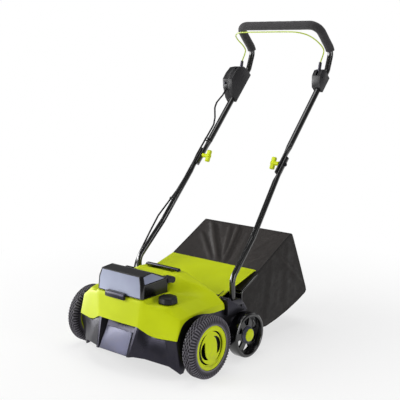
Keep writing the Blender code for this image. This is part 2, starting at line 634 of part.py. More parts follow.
# Drive ---------------------------------------------------------------------------------------------
def make_tine_rotor():
    """Hollow drum with a spiral of paired spring tines that trail backwards at their tips."""
    bore = 0.0088
    drum = turned([(-0.2050, bore), (0.1600, bore), (0.1600, 0.0180), (-0.2050, 0.0180)], ROTOR_AXIS, 20)
    tines = bmesh.new()
    stations = 12
    for i in range(stations):
        x = -0.190 + 0.0295 * i
        for half in (0, 180):
            angle = radians(37.5 * i + half)
            along_tine = Vector((0, cos(angle), sin(angle)))
            behind = Vector((0, sin(angle), -cos(angle)))
            axis_point = Vector((x, *ROTOR_AXIS))
            path = [axis_point + along_tine * 0.0125, axis_point + along_tine * 0.052,
                    axis_point + along_tine * (TINE_TIP_RADIUS - 0.003) + behind * 0.008]
            tine = sweep(path, 0.0019, 5)
            mesh = bpy.data.meshes.new("tine")
            tine.to_mesh(mesh)
            tine.free()
            tines.from_mesh(mesh)
            bpy.data.meshes.remove(mesh)
    place(solid("tine_rotor", drum, joined=[tines]), "steel", (0.0, *ROTOR_AXIS))


def make_rotor_shaft():
    place(solid("rotor_shaft", rod(-0.2160, 0.2160, 0.0083, ROTOR_AXIS, 20)), "steel", (0.0, *ROTOR_AXIS))


def make_rotor_bearing(side, word):
    profile = [(PLATE_INNER - 0.0035, 0.0088), (PLATE_OUTER + 0.0010, 0.0088),
               (PLATE_OUTER + 0.0010, 0.0158), (PLATE_INNER - 0.0035, 0.0158)]
    bearing = turned(profile, ROTOR_AXIS, 24, side=side)
    place(solid(f"rotor_bearing_{word}", bearing), "steel", (0.0, *ROTOR_AXIS))


def pulley_profile(radius, bore, half=BELT_WIDTH / 2 + 0.0015):
    """A flanged pulley: the belt runs on radius, between two flanges."""
    flange = radius + 0.0025
    return [(BELT_X - half, bore), (BELT_X + half, bore), (BELT_X + half, flange),
            (BELT_X + half - 0.0010, flange), (BELT_X + half - 0.0010, radius),
            (BELT_X - half + 0.0010, radius), (BELT_X - half + 0.0010, flange),
            (BELT_X - half, flange)]


def make_pulleys():
    big = turned(pulley_profile(ROTOR_PULLEY_RADIUS, 0.0088), ROTOR_AXIS, 24)
    place(solid("rotor_pulley", big), "black_plastic", (0.0, *ROTOR_AXIS))
    profile = pulley_profile(MOTOR_PULLEY_RADIUS, 0.0)
    profile = [(0.1210, 0.0), (BELT_X + BELT_WIDTH / 2 + 0.0015, 0.0)] + profile[2:]
    profile += [(BELT_X - BELT_WIDTH / 2 - 0.0015, 0.004), (0.1210, 0.004)]
    place(solid("motor_pulley", turned(profile, MOTOR_AXIS, 20)), "steel", (0.0, *MOTOR_AXIS))


def belt_outline(extra):
    """The loop round both pulleys, extra outside their running surfaces."""
    (y0, z0), (y1, z1) = ROTOR_AXIS, MOTOR_AXIS
    small, big = MOTOR_PULLEY_RADIUS + extra, ROTOR_PULLEY_RADIUS + extra
    distance = ((y1 - y0) ** 2 + (z1 - z0) ** 2) ** 0.5
    heading = atan2(z1 - z0, y1 - y0) * 180 / pi
    spread = 90 - atan2(big - small, distance) * 180 / pi
    loop = arc(MOTOR_AXIS, small, heading - spread, heading + spread, 10)
    return loop + arc(ROTOR_AXIS, big, heading + spread, heading - spread + 360, 12)


def make_drive_belt():
    low, high = BELT_X - BELT_WIDTH / 2 + 0.0010, BELT_X + BELT_WIDTH / 2 - 0.0010
    loop = prism(belt_outline(GAP + BELT_THICKNESS), low, high)
    inside = prism(belt_outline(GAP + 0.0004), low - 0.01, high + 0.01)
    place(solid("drive_belt", loop, cut=[inside]), "rubber")


def make_drive_motor():
    profile = [(-0.085, 0.0), (-0.085, 0.026), (-0.078, MOTOR_RADIUS), (0.105, MOTOR_RADIUS),
               (0.110, 0.028), (0.1205, 0.012), (0.1205, 0.0)]
    place(solid("drive_motor", turned(profile, MOTOR_AXIS, 28)), "steel")


def make_control_board():
    board = block((-0.165, -0.090, 0.1540), (-0.105, -0.015, 0.1556))
    extras = [block((-0.158, -0.080, 0.1550), (-0.142, -0.030, 0.1720)),
              rod(0.1550, 0.1740, 0.008, (-0.122, -0.070), 12, "z"),
              block((-0.132, -0.050, 0.1550), (-0.112, -0.025, 0.1640))]
    place(solid("control_board", board, joined=extras), "board_green")


# Rear flap -----------------------------------------------------------------------------------------
def flap_point(distance, rise):
    """A point in the flap's own plane: distance back from the hinge, rise square to the plate."""
    y = FLAP_HINGE[0] + distance * cos(FLAP_SLOPE) - rise * sin(FLAP_SLOPE)
    z = FLAP_HINGE[1] + distance * sin(FLAP_SLOPE) + rise * cos(FLAP_SLOPE)
    return (y, z)


def make_rear_flap():
    outline = [flap_point(*point) for point in ((0.0, 0.0030), (0.0, 0.0), (FLAP_LENGTH - 0.004, 0.0),
                                                (FLAP_LENGTH, -0.004), (FLAP_LENGTH + 0.001, 0.0005),
                                                (FLAP_LENGTH - 0.002, 0.0030))]
    plate = prism(outline, -FLAP_HALF_WIDTH, FLAP_HALF_WIDTH)
    barrel = rod(-0.1935, 0.1935, 0.0062, FLAP_HINGE, 16)
    rib = [flap_point(*point) for point in ((0.004, 0.0005), (0.004, -0.0040), (0.160, -0.0040),
                                            (0.170, 0.0005))]
    ribs = [prism(rib, x - 0.0012, x + 0.0012) for x in (-0.12, 0.0, 0.12)]
    window = block((0.1700, 0.1400, 0.2020), (0.1880, 0.1620, 0.2250))
    rod_hole = rod(-0.21, 0.21, 0.0034, FLAP_HINGE, 16)
    flap = solid("rear_flap", plate, joined=[barrel, *ribs], cut=[window, rod_hole])
    place(flap, "lime_plastic", (0.0, *FLAP_HINGE))


def make_flap_hinge_rod():
    hinge_rod = rod(-0.2000, 0.2000, 0.0030, FLAP_HINGE, 12)
    place(solid("flap_hinge_rod", hinge_rod), "steel", (0.0, *FLAP_HINGE))


def make_flap_spring():
    """Torsion spring round the hinge rod; one leg lies over the flap."""
    coils, per_coil, radius = 4, 8, 0.0050
    path = []
    for i in range(coils * per_coil + 1):
        turn = 2 * pi * i / per_coil
        path.append(Vector((0.1725 + 0.0130 * i / (coils * per_coil),
                            FLAP_HINGE[0] + radius * sin(turn), FLAP_HINGE[1] + radius * cos(turn))))
    end = path[-1]
    leg = [end + Vector((0.0, 0.008, 0.0012)), end + Vector((0.0, 0.026, 0.0070))]
    spring = sweep(path + leg, 0.0009, 5)
    place(solid("flap_spring", spring), "steel", (0.0, *FLAP_HINGE))


# Handle --------------------------------------------------------------------------------------------
def mirror_point(point, side):
    return Vector((point[0] * side, point[1], point[2]))


def handle_direction():
    return (Vector((0, *HANDLE_KNEE[1:])) - Vector((0, *HANDLE_BOLT[1:]))).normalized()


def make_handle_bracket(side, word):
    outline = [(0.1462, 0.1600), (0.1462, 0.2120)] + arc(FLAP_HINGE, 0.0073, 170, 20, 5)
    outline += [(0.1665, 0.2045), (0.2120, 0.2045), (0.2320, 0.1860), (0.2520, 0.1580), (0.2500, 0.1580)]
    bracket = prism(outline, *on_side(side, BRACKET_INNER, BRACKET_OUTER))
    foot = Vector((TUBE_FOOT[0] * side, TUBE_FOOT[1], TUBE_FOOT[2] - GAP))
    socket = sweep([foot, foot + Vector((0, 0, 0.06))], LOWER_TUBE_RADIUS + GAP, TUBE_SIDES)
    rod_hole = rod(*on_side(side, 0.190, 0.2004), 0.0034, FLAP_HINGE)
    screw_hole = rod(*on_side(side, 0.2285, 0.24), 0.0023, (0.2200, 0.1780), 12)
    holes = [socket, rod_hole, screw_hole]
    if side < 0:
        holes.append(rod(0.1945, 0.2100, CABLE_RADIUS + GAP, LOWER_CABLE[-1][:2], 12, "z"))
    place(solid(f"handle_bracket_{word}", bracket, cut=holes), "black_plastic")

    profile = [(0.2290, 0.0), (0.2290, 0.0019), (BRACKET_OUTER + GAP, 0.0019),
               (BRACKET_OUTER + GAP, 0.0045), (BRACKET_OUTER + 0.0022, 0.0036),
               (BRACKET_OUTER + 0.0026, 0.0)]
    screw = solid(f"bracket_screw_{word}", turned(profile, (0.2200, 0.1780), 12, side=side))
    place(screw, "steel")


def joint_point(outward):
    """The axis of a pressed tube end at the bolt: outside (1) or inside (-1) the plane of the joint."""
    return Vector(HANDLE_BOLT) + Vector((outward * (PRESSED_HALF + GAP / 2), 0, 0))


def make_lower_tube(side, word):
    direction = handle_direction()
    bolt = mirror_point(joint_point(1), side)
    corners = [mirror_point(point, side) for point in (TUBE_FOOT, TUBE_BEND, TUBE_KINK)]
    path = rounded([*corners, bolt - direction * 0.075], 0.045, 4)
    path += [bolt - direction * 0.045, bolt, bolt + direction * LOWER_END_LENGTH]
    shape = sweep(path, LOWER_TUBE_RADIUS, TUBE_SIDES, LOWER_TUBE_RADIUS - TUBE_WALL)
    press_end(shape, bolt, direction, LOWER_TUBE_RADIUS)
    hole = rod(*on_side(side, 0.15, 0.23), 0.0034, HANDLE_BOLT[1:], 12)
    place(solid(f"lower_tube_{word}", shape, cut=[hole]), "painted_tube")


def handle_path():
    """The upper handle from its right-hand end, over the top bar, to its left-hand end."""
    direction = handle_direction()
    bolt = joint_point(-1)
    half = [bolt - direction * UPPER_END_LENGTH, bolt, bolt + direction * 0.045, bolt + direction * 0.075]
    half += rounded([bolt + direction * 0.08, HANDLE_KNEE, GRIP_START, GRIP_CORNER,
                     (0.0, *GRIP_CORNER[1:])], 0.038, 4)[1:-1]
    other = [mirror_point(point, -1) for point in half]
    return other + half[::-1]


def grip_path():
    """The part of the handle that carries the foam, from just above the knee bends."""
    path = handle_path()
    inside = [point for point in path if point.z > GRIP_START[2] - 0.001]
    below = path[path.index(inside[0]) - 1]
    first = below.lerp(inside[0], 0.5)
    return [first, *inside, mirror_point(first, -1)]


def make_upper_handle():
    direction = handle_direction()
    shape = sweep(handle_path(), HANDLE_RADIUS, TUBE_SIDES, HANDLE_RADIUS - TUBE_WALL)
    for side in (1, -1):
        press_end(shape, mirror_point(joint_point(-1), side), direction, HANDLE_RADIUS)
    holes = [rod(*on_side(side, 0.15, 0.23), 0.0034, HANDLE_BOLT[1:], 12) for side in (1, -1)]
    place(solid("upper_handle", shape, cut=holes), "painted_tube", (0.0, *HANDLE_BOLT[1:]))


def make_foam_grip():
    bore = (HANDLE_RADIUS + GAP) / cos(pi / TUBE_SIDES)
    shape = sweep(grip_path(), GRIP_RADIUS, TUBE_SIDES, bore)
    place(solid("foam_grip", shape), "foam", (0.0, *HANDLE_BOLT[1:]))


def make_handle_bolt(side, word):
    """Round-headed bolt through both tubes; the wing knob turns on its inner end."""
    reach = 2 * PRESSED_HALF + 0.0010
    outer, face = HANDLE_BOLT[0] + reach, HANDLE_BOLT[0] - reach
    profile = [(face - 0.0250, 0.0), (face - 0.0250, 0.0030), (outer, 0.0030), (outer, 0.0075),
               (outer + 0.0028, 0.0060), (outer + 0.0038, 0.0)]
    bolt = turned(profile, HANDLE_BOLT[1:], 14, side=side)
    place(solid(f"handle_bolt_{word}", bolt), "steel", (0.0, *HANDLE_BOLT[1:]))

    stem = turned([(face, 0.0), (face, 0.0090), (face - 0.0060, 0.0075), (face - 0.0200, 0.0080),
                   (face - 0.0330, 0.0095), (face - 0.0345, 0.0080), (face - 0.0345, 0.0)],
                  HANDLE_BOLT[1:], 16, side=side)
    y, z = HANDLE_BOLT[1:]
    lean, across = Vector((sin(WING_TILT), cos(WING_TILT))), Vector((cos(WING_TILT), -sin(WING_TILT)))
    shape = ((-0.0225, 0.0045), (-0.0185, 0.0070), (0.0, 0.0058), (0.0185, 0.0070), (0.0225, 0.0045))
    edge = [lean * reach + across * half for reach, half in shape]
    edge += [lean * reach - across * half for reach, half in reversed(shape)]
    wings = prism([(y + u, z + v) for u, v in edge], *on_side(side, face - 0.0335, face - 0.0200))
    hole = rod(*on_side(side, face - 0.0260, face + 0.01), 0.0034, HANDLE_BOLT[1:], 16)
    knob = solid(f"wing_knob_{word}", stem, joined=[wings], cut=[hole])
    place(knob, "lime_plastic", (0.0, *HANDLE_BOLT[1:]))


# Controls ------------------------------------------------------------------------------------------
def handle_point(distance, rise):
    """(y, z) at a distance up the straight handle from the bolt, and a rise in front of its axis."""
    direction = handle_direction()
    y = HANDLE_BOLT[1] + distance * direction.y - rise * direction.z
    z = HANDLE_BOLT[2] + distance * direction.z + rise * direction.y
    return (y, z)


def handle_channel():
    """The space that the handle tube needs through a clamp."""
    return sweep(handle_path(), HANDLE_RADIUS + GAP, TUBE_SIDES)


def arm_notch(side):
    """Room for a bail arm in the top of a clamp."""
    corners = ((0.373, 0.0160), (0.445, 0.0160), (0.445, 0.100), (0.373, 0.100))
    low, high = on_side(side, BAIL_ARM_X - 0.0040, BAIL_ARM_X + 0.0040)
    return prism([handle_point(*corner) for corner in corners], low, high)


def pin_hole(side):
    """The hole for the pivot pin of a bail arm."""
    ends = on_side(side, BAIL_ARM_X - 0.0072, BAIL_ARM_X + 0.0072)
    return rod(*ends, BAIL_PIN_RADIUS + GAP, BAIL_PIVOT, 12)


BOX_OUTLINE = ((0.273, -0.0125), (0.277, 0.0100), (0.2985, 0.0480), (0.3196, 0.0705), (0.350, 0.0720),
               (0.384, 0.0665), (0.407, 0.0450), (0.414, 0.0145), (0.412, -0.0125))


def make_switch_box():
    """Two clamshell halves round the right-hand tube, with the power switch between them."""
    outline = [handle_point(*point) for point in BOX_OUTLINE]
    pocket = [handle_point(*point) for point in ((0.301, 0.0170), (0.305, 0.0470), (0.3225, 0.0655),
                                                 (0.350, 0.0670), (0.367, 0.0640), (0.367, 0.0170))]
    low, high = SWITCH_X
    channel_holes = [handle_channel(), handle_channel()]
    button_hole = sweep(button_path(0.020, 0.030), 0.0041, 10)
    cable_hole = sweep(upper_cable_path()[:4], CABLE_RADIUS + 2 * GAP, 8)
    outer_half = solid("switch_box", prism(outline, low, SWITCH_PARTING - GAP / 2),
                       cut=[channel_holes[0], prism(pocket, low + 0.003, SWITCH_PARTING + 0.01)])
    for hole in (button_hole, cable_hole, pin_hole(-1)):
        combine(outer_half, hole, "DIFFERENCE")
    place(outer_half, "black_plastic", (0.0, *HANDLE_BOLT[1:]))
    inner_half = solid("switch_box_cover", prism(outline, SWITCH_PARTING + GAP / 2, high),
                       cut=[channel_holes[1], prism(pocket, SWITCH_PARTING - 0.01, high - 0.003),
                            pin_hole(-1), arm_notch(-1)])
    place(inner_half, "black_plastic", (0.0, *HANDLE_BOLT[1:]))
    body = [handle_point(*point) for point in ((0.327, 0.0230), (0.327, 0.0480), (0.359, 0.0480),
                                               (0.359, 0.0230))]
    place(solid("power_switch", prism(body, -0.2050, -0.1740)), "rubber", (0.0, *HANDLE_BOLT[1:]))


def button_path(inward, outward):
    """The lock button's line, square to the lower slope of the switch box."""
    centre = Vector((SWITCH_X[0] + 0.0125, *handle_point(0.3090, 0.0592)))
    slope = Vector((0, *handle_point(*BOX_OUTLINE[3]))) - Vector((0, *handle_point(*BOX_OUTLINE[2])))
    away = Vector((0, slope.z, -slope.y)).normalized()
    away = away if away.y < 0 else -away
    return [centre - away * inward, centre + away * outward]


def make_lock_button():
    path = button_path(0.0090, 0.0060)
    place(solid("lock_button", sweep(path, 0.0036, 10)), "lime_plastic", tuple(path[0]))


def make_bail_bracket():
    outline = [handle_point(*point) for point in ((0.340, -0.0125), (0.340, 0.0155), (0.353, 0.0300),
                                                  (0.371, 0.0440), (0.395, 0.0470), (0.409, 0.0360),
                                                  (0.410, 0.0145), (0.408, -0.0125))]
    bracket = solid("bail_bracket", prism(outline, 0.1660, 0.2010),
                    cut=[handle_channel(), pin_hole(1), arm_notch(1)])
    place(bracket, "black_plastic", (0.0, *HANDLE_BOLT[1:]))


def make_bail():
    """The starting bail: a formed wire with a moulded arm at each end."""
    pivot_y, pivot_z = BAIL_PIVOT
    for side, word in ((1, "left"), (-1, "right")):
        arm = arc(BAIL_PIVOT, 0.0062, 150, 350, 8)
        arm += [(pivot_y + 0.0130, pivot_z + 0.0310), (pivot_y + 0.0030, pivot_z + 0.0335)]
        boss = prism(arm, *on_side(side, BAIL_ARM_X - 0.0035, BAIL_ARM_X + 0.0035))
        y, z = pivot_y + 0.0082, pivot_z + 0.0320
        socket = sweep([(BAIL_ARM_X * side, y - 0.0052, z - 0.0200),
                        (BAIL_ARM_X * side, y + 0.0030, z + 0.0110)], 0.0029, 10)
        pin = rod(*on_side(side, BAIL_ARM_X - 0.0068, BAIL_ARM_X + 0.0068), BAIL_PIN_RADIUS, BAIL_PIVOT, 12)
        arm_object = solid(f"bail_arm_{word}", boss, joined=[pin], cut=[socket])
        place(arm_object, "black_plastic", (0.0, *BAIL_PIVOT))
    y, z = pivot_y + 0.0082, pivot_z + 0.0320
    half = [Vector((BAIL_ARM_X, y - 0.0048, z - 0.0185))]
    half += rounded([(BAIL_ARM_X, y + 0.0010, z + 0.0040), (BAIL_ARM_X, 0.7740, 1.0230),
                     (BAIL_ARM_X, 0.6860, 1.0720), (0.160, 0.6600, 1.0865), (0.0, 0.6600, 1.0865)],
                    0.024, 4)[:-1]
    wire = [mirror_point(point, -1) for point in half] + half[::-1]
    place(solid("bail_bar", sweep(wire, 0.0024, 6)), "lime_wire", (0.0, *BAIL_PIVOT))


def upper_cable_path():
    corners = [Vector((x, *handle_point(distance, rise))) for x, distance, rise in UPPER_CABLE]
    return rounded(corners, 0.018, 3)


def make_cables():
    """Switch cable: one length on the folding handle and one on the fixed tube."""
    place(solid("cable_upper", sweep(upper_cable_path(), CABLE_RADIUS, 6)), "rubber",
          (0.0, *HANDLE_BOLT[1:]))
    place(solid("cable_lower", sweep(rounded(LOWER_CABLE, 0.018, 3), CABLE_RADIUS, 6)), "rubber")


# Collection bag ------------------------------------------------------------------------------------
BAG_OUTLINE = [(BAG_FRONT, 0.2135), (0.5546, 0.3667), (0.6585, 0.1250), (0.4040, 0.0540),
               (0.3000, 0.0620), (BAG_FRONT, 0.1180)]


def inset(outline, amount):
    """A convex outline moved inwards by the same amount on every side."""
    area = sum(a[0] * b[1] - b[0] * a[1] for a, b in zip(outline, outline[1:] + outline[:1]))
    turn = 1 if area > 0 else -1
    moved = []
    for before, here, after in zip(outline[-1:] + outline[:-1], outline, outline[1:] + outline[:1]):
        first = (Vector(here) - Vector(before)).normalized()
        second = (Vector(after) - Vector(here)).normalized()
        first_normal = Vector((-first.y, first.x)) * turn
        second_normal = Vector((-second.y, second.x)) * turn
        middle = (first_normal + second_normal).normalized()
        moved.append(tuple(Vector(here) + middle * (amount / middle.dot(first_normal))))
    return moved


def make_collection_bag():
    """Fabric catcher, open at its mouth."""
    body = prism(BAG_OUTLINE, -BAG_HALF_WIDTH, BAG_HALF_WIDTH)
    inner = inset(BAG_OUTLINE, BAG_WALL)
    inner[0] = (BAG_FRONT - 0.02, inner[0][1] - 0.011)
    inner[-1] = (BAG_FRONT - 0.02, inner[-1][1])
    hollow = prism(inner, -BAG_HALF_WIDTH + BAG_WALL, BAG_HALF_WIDTH - BAG_WALL)
    place(solid("collection_bag", body, cut=[hollow]), "fabric", (0.0, BAG_FRONT, 0.2135))


def make_bag_frame():
    """Steel wire frame: a loop round the mouth and an arm along each top edge."""
    x, y, radius = 0.2052, 0.2562, 0.0030
    slope = (BAG_OUTLINE[1][1] - BAG_OUTLINE[0][1]) / (BAG_OUTLINE[1][0] - BAG_OUTLINE[0][0])
    top = 0.2085
    rear = (x, 0.3450, top + slope * (0.3450 - y) - 0.002)
    half = [rear, (x, y, top), (x, y, 0.1200), (0.0, y, 0.1200)]
    path = rounded([(-px, py, pz) for px, py, pz in half[:-1]] + half[:-1][::-1], 0.008, 4)
    bar = rod(-x, x, radius - 0.0002, (y, top - 0.003), 10)
    frame = solid("bag_frame", sweep(path, radius, 10), joined=[bar])
    place(frame, "painted_tube", (0.0, BAG_FRONT, 0.2135))


clear_scene()
MACHINE = make_machine_empty()
MATERIALS = {name: make_material(name) for name in FINISHES}

make_top_cover()
make_carry_handle()
make_lower_housing()
make_badge_plate()
make_battery_bay()
make_safety_key()
make_battery_cover()
make_cover_latch()
make_cover_hinge_pin()
make_depth_knob()
make_front_axle()
make_rear_axle()
make_tine_rotor()
make_rotor_shaft()
make_pulleys()
make_drive_belt()
make_drive_motor()
make_control_board()
make_rear_flap()
make_flap_hinge_rod()
make_flap_spring()
make_upper_handle()
make_foam_grip()
make_switch_box()
make_lock_button()
make_bail_bracket()
make_bail()
make_cables()
make_collection_bag()
make_bag_frame()
for SIDE, WORD in ((1, "left"), (-1, "right")):
    make_front_wheel(SIDE, WORD)
    make_rear_wheel(SIDE, WORD)
    make_battery_pack(SIDE, WORD)
    make_rotor_bearing(SIDE, WORD)
    make_handle_bracket(SIDE, WORD)
    make_lower_tube(SIDE, WORD)
    make_handle_bolt(SIDE, WORD)
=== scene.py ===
"""Looks of the walk-behind battery lawn dethatcher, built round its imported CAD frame.

Metres, +Z up; the machine faces -Y and +X is its left-hand side. Positions are laid out from the
front axle (y = 0) and the ground (z = 0), and at() turns them into the shared frame.
"""
from math import cos, exp, hypot, pi, radians, sin, tan

import bmesh
import bpy
from mathutils import Matrix, Vector, noise


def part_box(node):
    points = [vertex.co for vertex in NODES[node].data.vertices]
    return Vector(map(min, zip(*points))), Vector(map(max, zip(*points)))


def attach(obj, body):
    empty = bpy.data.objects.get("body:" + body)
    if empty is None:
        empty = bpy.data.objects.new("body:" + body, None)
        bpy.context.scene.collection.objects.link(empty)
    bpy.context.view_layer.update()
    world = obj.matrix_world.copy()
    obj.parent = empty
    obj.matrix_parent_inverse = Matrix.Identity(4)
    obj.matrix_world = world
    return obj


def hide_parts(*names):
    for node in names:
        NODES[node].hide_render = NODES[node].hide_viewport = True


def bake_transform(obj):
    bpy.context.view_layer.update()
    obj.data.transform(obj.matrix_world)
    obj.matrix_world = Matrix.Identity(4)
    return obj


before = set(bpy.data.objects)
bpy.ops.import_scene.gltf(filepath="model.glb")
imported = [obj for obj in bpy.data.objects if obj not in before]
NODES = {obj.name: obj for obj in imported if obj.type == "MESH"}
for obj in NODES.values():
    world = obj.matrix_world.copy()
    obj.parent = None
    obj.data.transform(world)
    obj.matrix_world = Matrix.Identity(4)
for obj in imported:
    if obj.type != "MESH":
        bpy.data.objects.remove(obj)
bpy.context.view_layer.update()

SIDES = ((1, "left"), (-1, "right"))


def extents(node):
    """The middle of a CAD node, and how far out from the machine's middle its two faces are."""
    low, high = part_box(node)
    return (low + high) / 2, *sorted((abs(low.x), abs(high.x)))


AXLE_Y = extents("front_left_tyre")[0].y


def at(x, y, z):
    """A point laid out from the front axle, in the shared frame."""
    return Vector((x, y + AXLE_Y, z))


# --- Materials ---
def colour(text):
    """A colour written as six hex digits, as linear RGBA."""
    parts = [int(text[i:i + 2], 16) / 255 for i in (0, 2, 4)]
    return (*[c / 12.92 if c <= 0.04045 else ((c + 0.055) / 1.055) ** 2.4 for c in parts], 1.0)


class Finish:
    """A node material under construction; every pattern is laid out in metres."""

    def __init__(self, name):
        self.material = bpy.data.materials.new(name)
        self.material.use_nodes = True
        self.tree = self.material.node_tree
        self.shader = self.tree.nodes["Principled BSDF"]
        self.where = self.add("TexCoord").outputs["Object"]

    def add(self, kind, inputs=None, **settings):
        node = self.tree.nodes.new("ShaderNode" + kind)
        for key, value in settings.items():
            setattr(node, key, value)
        for key, value in (inputs or {}).items():
            self.join(value, node.inputs[key])
        return node

    def join(self, value, socket):
        """Feeds a socket from another one, a plain value or a colour in hex digits."""
        if isinstance(value, bpy.types.NodeSocket):
            self.tree.links.new(value, socket)
        else:
            socket.default_value = colour(value) if isinstance(value, str) else value

    def surface(self, **inputs):
        for key, value in inputs.items():
            self.join(value, self.shader.inputs[key.replace("_", " ")])

    def noise(self, scale, detail=2.0, stretch=(1, 1, 1)):
        place = self.add("Mapping", {"Vector": self.where, "Scale": stretch}).outputs["Vector"]
        grain = self.add("TexNoise", {"Vector": place, "Scale": scale, "Detail": detail})
        return grain.outputs["Fac"]

    def ramp(self, value, *stops):
        node = self.add("ValToRGB", {"Fac": value})
        elements = node.color_ramp.elements
        while len(elements) < len(stops):
            elements.new(0.5)
        for element, (position, shade) in zip(elements, stops):
            element.position = position
            element.color = colour(shade) if isinstance(shade, str) else (shade, shade, shade, 1.0)
        return node.outputs["Color"]

    def mottle(self, dark, light, scale, detail):
        """Broad patches between two close tones."""
        return self.ramp(self.noise(scale, detail), (0.3, dark), (0.7, light))

    def mix(self, share, first, second):
        return self.add("Mix", {0: share, 6: first, 7: second}, data_type="RGBA").outputs[2]

    def sums(self, kind, first, second):
        return self.add("Math", {0: first, 1: second}, operation=kind).outputs[0]

    def spread(self, value, low, high):
        return self.add("MapRange", {"Value": value, "From Min": 0.25, "From Max": 0.75,
                                     "To Min": low, "To Max": high}).outputs["Result"]

    def bump(self, height, depth, strength=1.0, under=None):
        inputs = {"Height": height, "Distance": depth, "Strength": strength}
        if under is not None:
            inputs["Normal"] = under
        return self.add("Bump", inputs).outputs["Normal"]

    def edges(self):
        """White along edges that a hand or a kerb would rub."""
        soft = self.add("Bevel", {"Radius": 0.0016}, samples=4).outputs["Normal"]
        true = self.add("NewGeometry").outputs["Normal"]
        facing = self.add("VectorMath", {0: soft, 1: true}, operation="DOT_PRODUCT")
        turned = self.sums("SUBTRACT", 1.0, facing.outputs["Value"])
        worn = self.sums("MULTIPLY", turned, self.spread(self.noise(90, 3), 0.3, 1.3))
        return self.ramp(worn, (0.02, 0.0), (0.35, 1.0))


def moulded(name, dark, light, edge, roughness, grain=1400, depth=0.00008, coat=0.0, dirt=None,
            wear=0.6, shine=0.5, tint="ffffff"):
    """Injection-moulded plastic: broad patches, fine grain, worn edges and dust low down."""
    f = Finish(name)
    shade = f.mottle(dark, light, 9, 3)
    shade = f.mix(f.sums("MULTIPLY", f.edges(), wear), shade, edge)
    if dirt:
        height = f.add("SeparateXYZ", {"Vector": f.where}).outputs["Z"]
        low_down = f.add("MapRange", {"Value": height, "From Min": 0.17, "From Max": 0.0,
                                      "To Min": 0.0, "To Max": 0.55}).outputs["Result"]
        specks = f.ramp(f.noise(55, 5), (0.45, 0.0), (0.75, 1.0))
        shade = f.mix(f.sums("MULTIPLY", low_down, specks), shade, dirt)
    rough = f.sums("ADD", f.spread(f.noise(35, 3), roughness - 0.05, roughness + 0.05),
                   f.sums("MULTIPLY", f.noise(300), 0.03))
    f.surface(Base_Color=shade, Roughness=rough, Coat_Weight=coat, Coat_Roughness=0.18,
              Specular_IOR_Level=shine, Specular_Tint=tint,
              Normal=f.bump(f.noise(grain, 1), depth, 0.6))
    return f.material


def rubbery(name, dark, light, dirt, scale=500, raised_highlight=None):
    """Rubber: mottled and dusty; with a highlight colour given, it takes painted shade in hollows
    and a painted highlight on convex edges.
    """
    f = Finish(name)
    shade = f.mottle(dark, light, 60, 4)
    if raised_highlight:
        # painted shade in the hollows and a painted highlight on convex edges, from pointiness
        out = f.add("NewGeometry").outputs["Pointiness"]
        shade = f.mix(f.ramp(out, (0.44, 1.0), (0.5, 0.0)), shade, "08070a")
        shade = f.mix(f.ramp(out, (0.505, 0.0), (0.56, 1.0)), shade, raised_highlight)
    specks = f.ramp(f.noise(130, 6), (0.55, 0.0), (0.75, 0.5))
    shade = f.mix(specks, shade, dirt)
    f.surface(Base_Color=shade, Roughness=f.spread(f.noise(80, 3), 0.62, 0.82),
              Specular_IOR_Level=0.3, Normal=f.bump(f.noise(scale, 3), 0.0004, 0.5))
    return f.material


def painted(name, dark, light, roughness, coat):
    """Baked enamel: slight orange peel under a clear gloss, with tiny scuffs."""
    f = Finish(name)
    shade = f.mottle(dark, light, 14, 3)
    scuffs = f.ramp(f.noise(240, 6, (1, 0.2, 0.2)), (0.66, 0.0), (0.74, 0.35))
    shade = f.mix(scuffs, shade, "5c5c60")
    rough = f.spread(f.noise(50, 2), roughness - 0.03, roughness + 0.04)
    f.surface(Base_Color=shade, Roughness=f.sums("ADD", f.sums("MULTIPLY", scuffs, 0.25), rough),
              Coat_Weight=coat, Coat_Roughness=0.12, Normal=f.bump(f.noise(220, 1), 0.0001, 0.35))
    return f.material


def metal(name, dark, light, roughness):
    """Drawn steel, with its grain along X."""
    f = Finish(name)
    grain = f.noise(900, 3, (0.1, 1, 1))
    shade = f.mottle(dark, light, 30, 4)
    f.surface(Base_Color=shade, Metallic=1.0,
              Roughness=f.spread(grain, roughness - 0.08, roughness + 0.1),
              Normal=f.bump(grain, 0.00006, 0.5))
    return f.material


def foam_rubber():
    """Closed-cell foam: fine pores over a soft mottled black."""
    f = Finish("foam")
    cells = f.add("TexVoronoi", {"Vector": f.where, "Scale": 900}).outputs["Distance"]
    shade = f.mottle("1a181a", "262427", 45, 4)
    f.surface(Base_Color=shade, Roughness=0.88, Sheen_Weight=0.12, Sheen_Roughness=0.5,
              Normal=f.bump(cells, 0.0006, 0.55, f.bump(f.noise(140, 3), 0.0006, 0.4)))
    return f.material


def woven(name, dark, light):
    """Coated non-stretch bag cloth: a plain weave, paler along the fold ridges, partly from rubbing
    and partly a painted highlight.
    """
    f = Finish(name)
    bands = []
    for axis in ("X", "Y", "Z"):
        wave = f.add("TexWave", {"Vector": f.where, "Scale": 320.0},
                     wave_type="BANDS", bands_direction=axis)
        bands.append(wave.outputs["Fac"])
    weave = f.sums("MULTIPLY", bands[0], f.sums("MAXIMUM", bands[1], bands[2]))
    shade = f.mottle(dark, light, 7, 3)
    shade = f.mix(f.sums("MULTIPLY", weave, 0.22), shade, "3d3836")
    pale = f.ramp(f.noise(420, 3), (0.5, 0.0), (0.85, 0.6))
    shade = f.mix(pale, shade, "3c3634")
    # paler on convex fold ridges: partly rubbing, partly a painted highlight
    rubbed_and_highlit = f.ramp(f.add("NewGeometry").outputs["Pointiness"], (0.515, 0.0), (0.58, 0.45))
    shade = f.mix(rubbed_and_highlit, shade, "4c4744")
    creases = f.bump(f.noise(34, 3), 0.0016, 0.6)
    f.surface(Base_Color=shade, Roughness=f.spread(f.noise(40, 2), 0.5, 0.66),
              Specular_IOR_Level=0.22, Normal=f.bump(weave, 0.0003, 0.28, creases))
    return f.material


